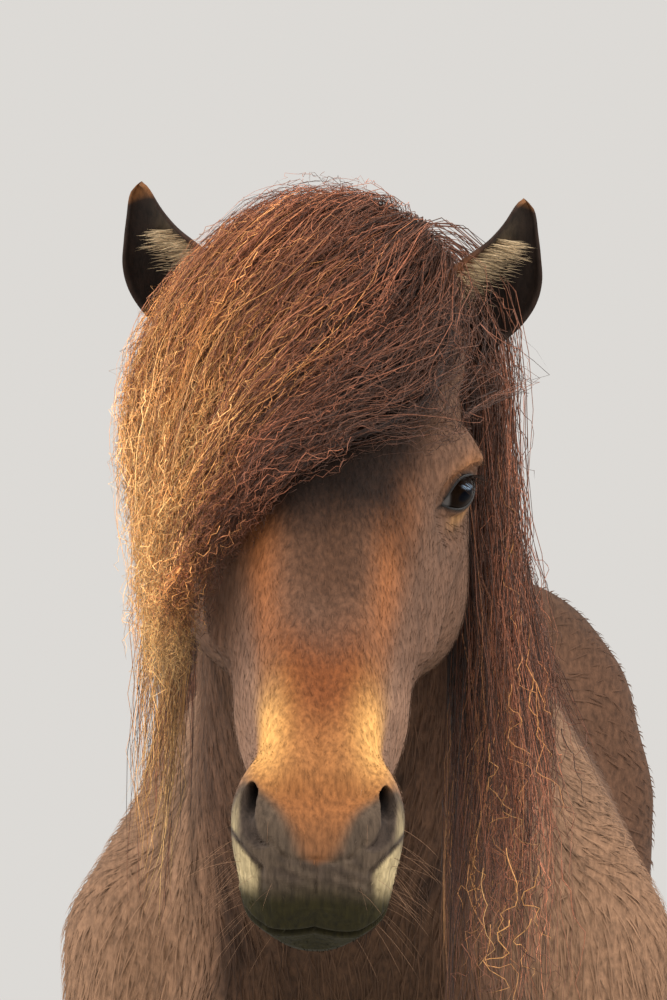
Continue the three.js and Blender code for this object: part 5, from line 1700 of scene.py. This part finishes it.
tail_at = tail_guides()
paths, draws = grow(tail_at, 4, locks=76, strands=21, points=12, length=(0.8, 1), spread=(0.03, 0.2),
                    wave=(0.012, 0.08, 9), frizz=(0.003, 0.05, 30))
tail = make_hair("tail_hair", paths, draws, 0.14, 0.5, 4)
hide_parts("tail")
tail_core = under_hair("tail_core", tail_at, 36, 2.2, 34, lift=(0.2, 0.4), length=0.8, start=0.2)
print("tail:", len(tail.data.polygons), "and", len(tail_core.data.polygons))

# %% [markdown]
# ## The small hairs
# The cup of the ear is filled with pale hair that points out and a little up. Stiff whiskers stand on the
# lips and the chin, and lashes on the upper lids. Behind each fetlock the hair grows long and hangs over
# the heel, and a short fringe hangs over the top of the hoof. All of them are blades too.

# %% Ear hair, lashes and whiskers
def sprout(name, roots, ways, length, width, seed, colour, droop=0.0, points=5):
    """Single hairs from roots on the left side, leaning in their ways, on both sides of the body."""
    rng = np.random.default_rng(seed)
    count = len(roots)
    t = np.linspace(0, 1, points)[:, None]
    ways = unit(ways)[:, None]
    size = (length * rng.uniform(0.6, 1.15, count))[:, None, None]
    paths = roots[:, None] + ways * t * size + np.array([0, 0, -droop]) * (t**2) * size
    paths = np.concatenate([paths, paths * MIRROR])
    shade = rng.uniform(0, 1, len(paths))
    piece = blades(name, paths, width, unwrap(paths[:, 0]), seed, shade=shade)
    tones = colour * mix(0.6, 1.25, shade)[:, None]
    paint_colour(piece, np.repeat(tones, 3 * (points - 1) + 1, axis=0))
    return piece


EAR_HAIRS, LASHES, WHISKERS = 560, 46, 46
rng = np.random.default_rng(7)
t, a = rng.uniform(0.2, 0.72, EAR_HAIRS), rng.normal(-0.28, 0.22, EAR_HAIRS)
ways = EAR_AXIS * 0.28 + EAR_OPEN * 0.35 + EAR_ACROSS * 0.8 + rng.normal(0, 0.11, (EAR_HAIRS, 3))
roots = ear_surface(t, a, np.full(EAR_HAIRS, EAR_WALL - 0.06))
ear_hair = sprout("ear_hair", roots, ways, 1.5, 0.05, 7, PAINT["ear_hair"])

q = np.linspace(-0.35, 0.98, LASHES)
out = np.sqrt((EYE["radius"] + 0.12) ** 2 - (q * LID_CORNER) ** 2)
roots = from_eye(q * LID_CORNER, lid_edge(q, True) + 0.04, out)
ways = GAZE * 0.75 + EYE_LINE * mix(0.1, 0.7, ease(q))[:, None] - EYE_UP * 0.25
ways = ways + rng.normal(0, 0.12, (LASHES, 3))
lashes = sprout("lashes", roots, ways, 1.5, 0.05, 8, PAINT["leg"], droop=0.15)

u, v = rng.uniform(47, 53, WHISKERS), rng.uniform(2.2, 4.6, WHISKERS)
roots = settle(from_head(u, v, rng.uniform(-12, -6, WHISKERS)), 0.2, 8)
ways = outward(roots) + np.array([0.1, -0.15, -0.35]) + rng.normal(0, 0.25, (WHISKERS, 3))
whiskers = sprout("whiskers", roots, ways, 3.6, 0.028, 9, PAINT["pale"], droop=0.3, points=7)

# %% Feather behind the fetlocks
FEATHERS, FRINGE = 180, 170  # hairs on one foot


def round_foot(x, y, turn, z):
    """Roots on the foot, each turned about its axis from straight behind, and the level ways out there."""
    away = np.stack([np.sin(turn), np.cos(turn), 0 * turn], -1)
    return settle(np.array([x, y, 0]) + away * 4 + np.stack([0 * z, 0 * z, z], -1), 0.25, 8), away


def feather(x, y, seed):
    """The long hair behind a fetlock."""
    rng = np.random.default_rng(seed)
    roots, away = round_foot(x, y, rng.normal(0, 0.75, FEATHERS), rng.uniform(10, 18.5, FEATHERS))
    return roots, away * 0.22 + np.array([0, 0.06, -1]) + rng.normal(0, 0.1, (FEATHERS, 3))


def fringe(x, y, seed):
    """The hair that ends over the top of the hoof."""
    rng = np.random.default_rng(seed)
    turn = rng.uniform(-math.pi, math.pi, FRINGE)
    roots, away = round_foot(x, y, turn, 8 - 1.6 * np.cos(turn) + rng.uniform(0, 1.5, FRINGE))
    return roots, away * 0.45 + np.array([0, 0, -1]) + rng.normal(0, 0.12, (FRINGE, 3))


planted = [feather(12.5, 1, 41), feather(12.4, 110, 42), fringe(12.5, -7, 43), fringe(12.4, 101.5, 44)]
roots, ways = (np.concatenate(part) for part in zip(*planted))
lengths = np.repeat([2.8, 3.2, 1.6, 1.6], [FEATHERS, FEATHERS, FRINGE, FRINGE])
feathers = sprout("feathers", roots, ways, lengths, 0.13, 45, PAINT["leg"], droop=0.35)
print("small hairs:", [len(piece.data.polygons) for piece in (ear_hair, lashes, whiskers, feathers)])

# %% [markdown]
# ## Finishes
# A finish is a little sum of patterns and colours. Written as nodes, even a small sum takes many lines,
# so a short class lets us write it as one. Any number in it may be a wire from a node.

# %% Shader maths
class Wire:
    """One output of a node, on which plain maths works."""

    def __init__(self, finish, socket):
        self.finish, self.socket = finish, socket

    def maths(self, operation, a, b):
        return self.finish.node("Math", {"operation": operation}, {0: a, 1: b})

    def __add__(self, other):
        return self.maths("ADD", self, other)

    def __mul__(self, other):
        return self.maths("MULTIPLY", self, other)

    def __sub__(self, other):
        return self.maths("SUBTRACT", self, other)

    def __rsub__(self, other):
        return self.maths("SUBTRACT", other, self)

    def __pow__(self, other):
        return self.maths("POWER", self, other)

    __radd__, __rmul__ = __add__, __mul__


class Finish:
    """A material, and the one way of adding a node to it."""

    def __init__(self, name, **sockets):
        self.material = bpy.data.materials.new(name)
        self.material.use_nodes = True
        self.tree = self.material.node_tree
        self.shader = self.tree.nodes["Principled BSDF"]
        self.set(**sockets)

    def plug(self, socket, value):
        if isinstance(value, Wire):
            self.tree.links.new(value.socket, socket)
        else:
            socket.default_value = value

    def node(self, kind, settings=None, values=None, output=0):
        node = self.tree.nodes.new("ShaderNode" + kind)
        for name, value in (settings or {}).items():
            setattr(node, name, value)
        for name, value in (values or {}).items():
            self.plug(node.inputs[name], value)
        return Wire(self, node.outputs[output])

    def set(self, **sockets):
        for name, value in sockets.items():
            self.plug(self.shader.inputs[name.replace("_", " ")], value)

    def number(self, name):
        return self.node("Attribute", {"attribute_name": name}, output="Fac")

    def colour(self, name):
        return self.node("Attribute", {"attribute_name": name}, output="Color")

    def place(self, scale=(1, 1, 1), turn=(0, 0, 0)):
        spot = self.node("TexCoord", output="Object")
        return self.node("Mapping", {}, {"Vector": spot, "Scale": scale, "Rotation": turn})

    def noise(self, scale, detail, rough=0.5, at=None):
        settings = {"Vector": at or self.place(), "Scale": scale, "Detail": detail, "Roughness": rough}
        return self.node("TexNoise", {}, settings)

    def blend(self, share, a, b, how="MIX"):
        settings = {"data_type": "RGBA", "blend_type": how}
        return self.node("Mix", settings, {0: share, 6: a, 7: b}, output=2)

    def shaded(self, colour, tone):
        """A colour made darker or lighter by a number."""
        grey = self.node("CombineColor", {}, {"Red": tone, "Green": tone, "Blue": tone})
        return self.blend(1.0, colour, grey, "MULTIPLY")

    def relief(self, height, strength, distance):
        bump_node = {"Height": height, "Strength": strength, "Distance": distance}
        self.set(Normal=self.node("Bump", {}, bump_node))


def dress(piece, finish):
    piece.data.materials.clear()
    piece.data.materials.append(finish.material)


# %% [markdown]
# ## The coat's finish
# The fine grain of short hair is noise stretched along its lie: down the face on the head, down the
# legs, and backwards on the body. It tints the coat and raises it a little.

# %% Coat
def grain(finish):
    along_body = finish.noise(260, 3, 0.6, finish.place((1, 0.16, 0.5)))
    down_legs = finish.noise(260, 3, 0.6, finish.place((1, 1, 0.14)))
    down_face = finish.noise(330, 3, 0.6, finish.place((1, 1, 0.16), (-HEAD_PITCH, 0, 0)))
    body = along_body + finish.number("on_leg") * (down_legs - along_body)
    return body + finish.number("on_head") * (down_face - body)


coat = Finish("coat", Roughness=0.75, Specular_IOR_Level=0.18)
hairs = grain(coat)
patchy = coat.noise(9, 4)
tone = hairs * 2.4 + patchy * 0.7 - 0.3
coat.set(Base_Color=coat.shaded(coat.colour("coat"), tone))
coat.relief(hairs, 0.45, 0.002)
dress(skin, coat)

tufts = Finish("tufts", Roughness=0.7, Specular_IOR_Level=0.2)
tone = tufts.number("along") * 0.3 + tufts.number("shade") * 0.3 + 0.98
tufts.set(Base_Color=tufts.shaded(tufts.colour("coat"), tone))
for piece in (face_coat, front_coat, body_coat, leg_coat, ear_hair, lashes, whiskers, feathers):
    dress(piece, tufts)

# %% Long hair
strands = Finish("strands", Roughness=0.45, Specular_IOR_Level=0.35)
# fine noise that brightens and darkens the strands: painted glints
painted_glints = strands.noise(380, 2, 0.6)
tone = (strands.number("shade") * 1.1 + 0.45) * (painted_glints * 2.0 + 0.05)
strands.set(Base_Color=strands.shaded(strands.colour("coat"), tone))
for piece in (*mane, *forelock, tail, tail_core):
    dress(piece, strands)

# %% [markdown]
# ## Wet skin, eye and horn
# The eye is dark all over, with a little brown in the iris, a blue-black pupil and a paler inner corner.
# Its pale patch is a painted reflection of the sky, put into its colour. The rims of the lids are slate
# skin, always a little wet. Horn has fine streaks that run down it, level bands and a dull gleam.

# %% Eye, lids and horn
eye_finish = Finish("wet eye", Roughness=0.05, Specular_IOR_Level=0.03)
white = eye_finish.blend(eye_finish.number("inner_corner"), (0.01, 0.006, 0.004, 1), (0.14, 0.13, 0.125, 1))
iris = eye_finish.blend(eye_finish.noise(700, 3), (0.003, 0.0015, 0.001, 1), (0.014, 0.006, 0.002, 1))
ball = eye_finish.blend(eye_finish.number("iris"), white, iris)
ball = eye_finish.blend(eye_finish.number("pupil"), ball, (0.0005, 0.001, 0.003, 1))
# the pale patch is a painted reflection of the sky
eye_finish.set(Base_Color=eye_finish.blend(eye_finish.number("sky"), ball, (0.2, 0.27, 0.36, 1)))
for eye in eyes:
    dress(eye, eye_finish)

rim_finish = Finish("rim of the lids", Roughness=0.4, Specular_IOR_Level=0.3)
crinkle = rim_finish.noise(900, 3)
rim_finish.set(Base_Color=rim_finish.blend(crinkle, (0.009, 0.008, 0.007, 1), (0.032, 0.028, 0.026, 1)))
rim_finish.relief(crinkle, 0.3, 0.0005)
dress(lid_rims, rim_finish)

horn = Finish("horn", Roughness=0.42, Specular_IOR_Level=0.4)
streaks = horn.noise(230, 4, 0.6, horn.place((1, 1, 0.12)))
bands = horn.noise(70, 2, 0.5, horn.place((0.15, 0.15, 1)))
streaky = horn.blend(streaks, (0.035, 0.028, 0.022, 1), (0.14, 0.105, 0.075, 1))
horn.set(Base_Color=horn.shaded(streaky, bands + 0.5))
horn.relief(streaks, 0.25, 0.001)
for hoof in hooves:
    dress(hoof, horn)
print("finishes:", [material.name for material in bpy.data.materials])

# %% [markdown]
# ## Camera, light and floor
# The photo was taken with a long lens from about four metres, at the height of the horse's eyes, under a
# bright grey sky. So the light is a pale sky all round, with three large soft windows above: one in
# front and one on each side.

# %% Camera
CAMERA_AT = np.array([0, -472, 142]) * CM + ORIGIN
FOCAL_PIXELS, IMAGE_HEIGHT, SENSOR = 5840, 1000, 36
CAMERA_DIP = 0.216  # in degrees
camera_data = bpy.data.cameras.new("camera")
camera_data.sensor_fit = "VERTICAL"
camera_data.sensor_height = camera_data.sensor_width = SENSOR
camera_data.lens = FOCAL_PIXELS / IMAGE_HEIGHT * SENSOR
camera_data.clip_start = 0.1
camera = bpy.data.objects.new("camera", camera_data)
bpy.context.scene.collection.objects.link(camera)
camera.location = CAMERA_AT
camera.rotation_euler = (math.radians(90 - CAMERA_DIP), 0, 0)
bpy.context.scene.camera = camera

# %% Light
def window(name, at, towards, size, power):
    bpy.ops.object.light_add(type="AREA", location=at)
    lamp = bpy.context.object
    lamp.name = lamp.data.name = name
    lamp.data.size = size
    lamp.data.energy = power
    lamp.rotation_euler = (Vector(at) - Vector(towards)).to_track_quat("Z", "Y").to_euler()


window("sky_front", (0.6, -3.0, 3.8), (0, -0.8, 1.2), 3.0, 90)
window("sky_left", (3.4, -0.6, 2.8), (0, 0, 1.1), 2.6, 66)
window("sky_right", (-3.4, -0.8, 2.8), (0, 0, 1.1), 2.6, 100)
world = bpy.data.worlds.new("pale sky")
world.use_nodes = True
world.node_tree.nodes["Background"].inputs["Color"].default_value = (0.9, 0.875, 0.84, 1)
world.node_tree.nodes["Background"].inputs["Strength"].default_value = 0.8
bpy.context.scene.world = world
bpy.context.scene.view_settings.view_transform = "Standard"

# %% Floor
bpy.ops.mesh.primitive_plane_add(size=14, location=(0, 0, 0))
floor = bpy.context.object
floor.name = floor.data.name = "floor"
floor_finish = Finish("floor", Roughness=0.9)
speckle = floor_finish.noise(40, 3)
floor_finish.set(Base_Color=floor_finish.blend(speckle, (0.62, 0.62, 0.6, 1), (0.7, 0.7, 0.68, 1)))
dress(floor, floor_finish)
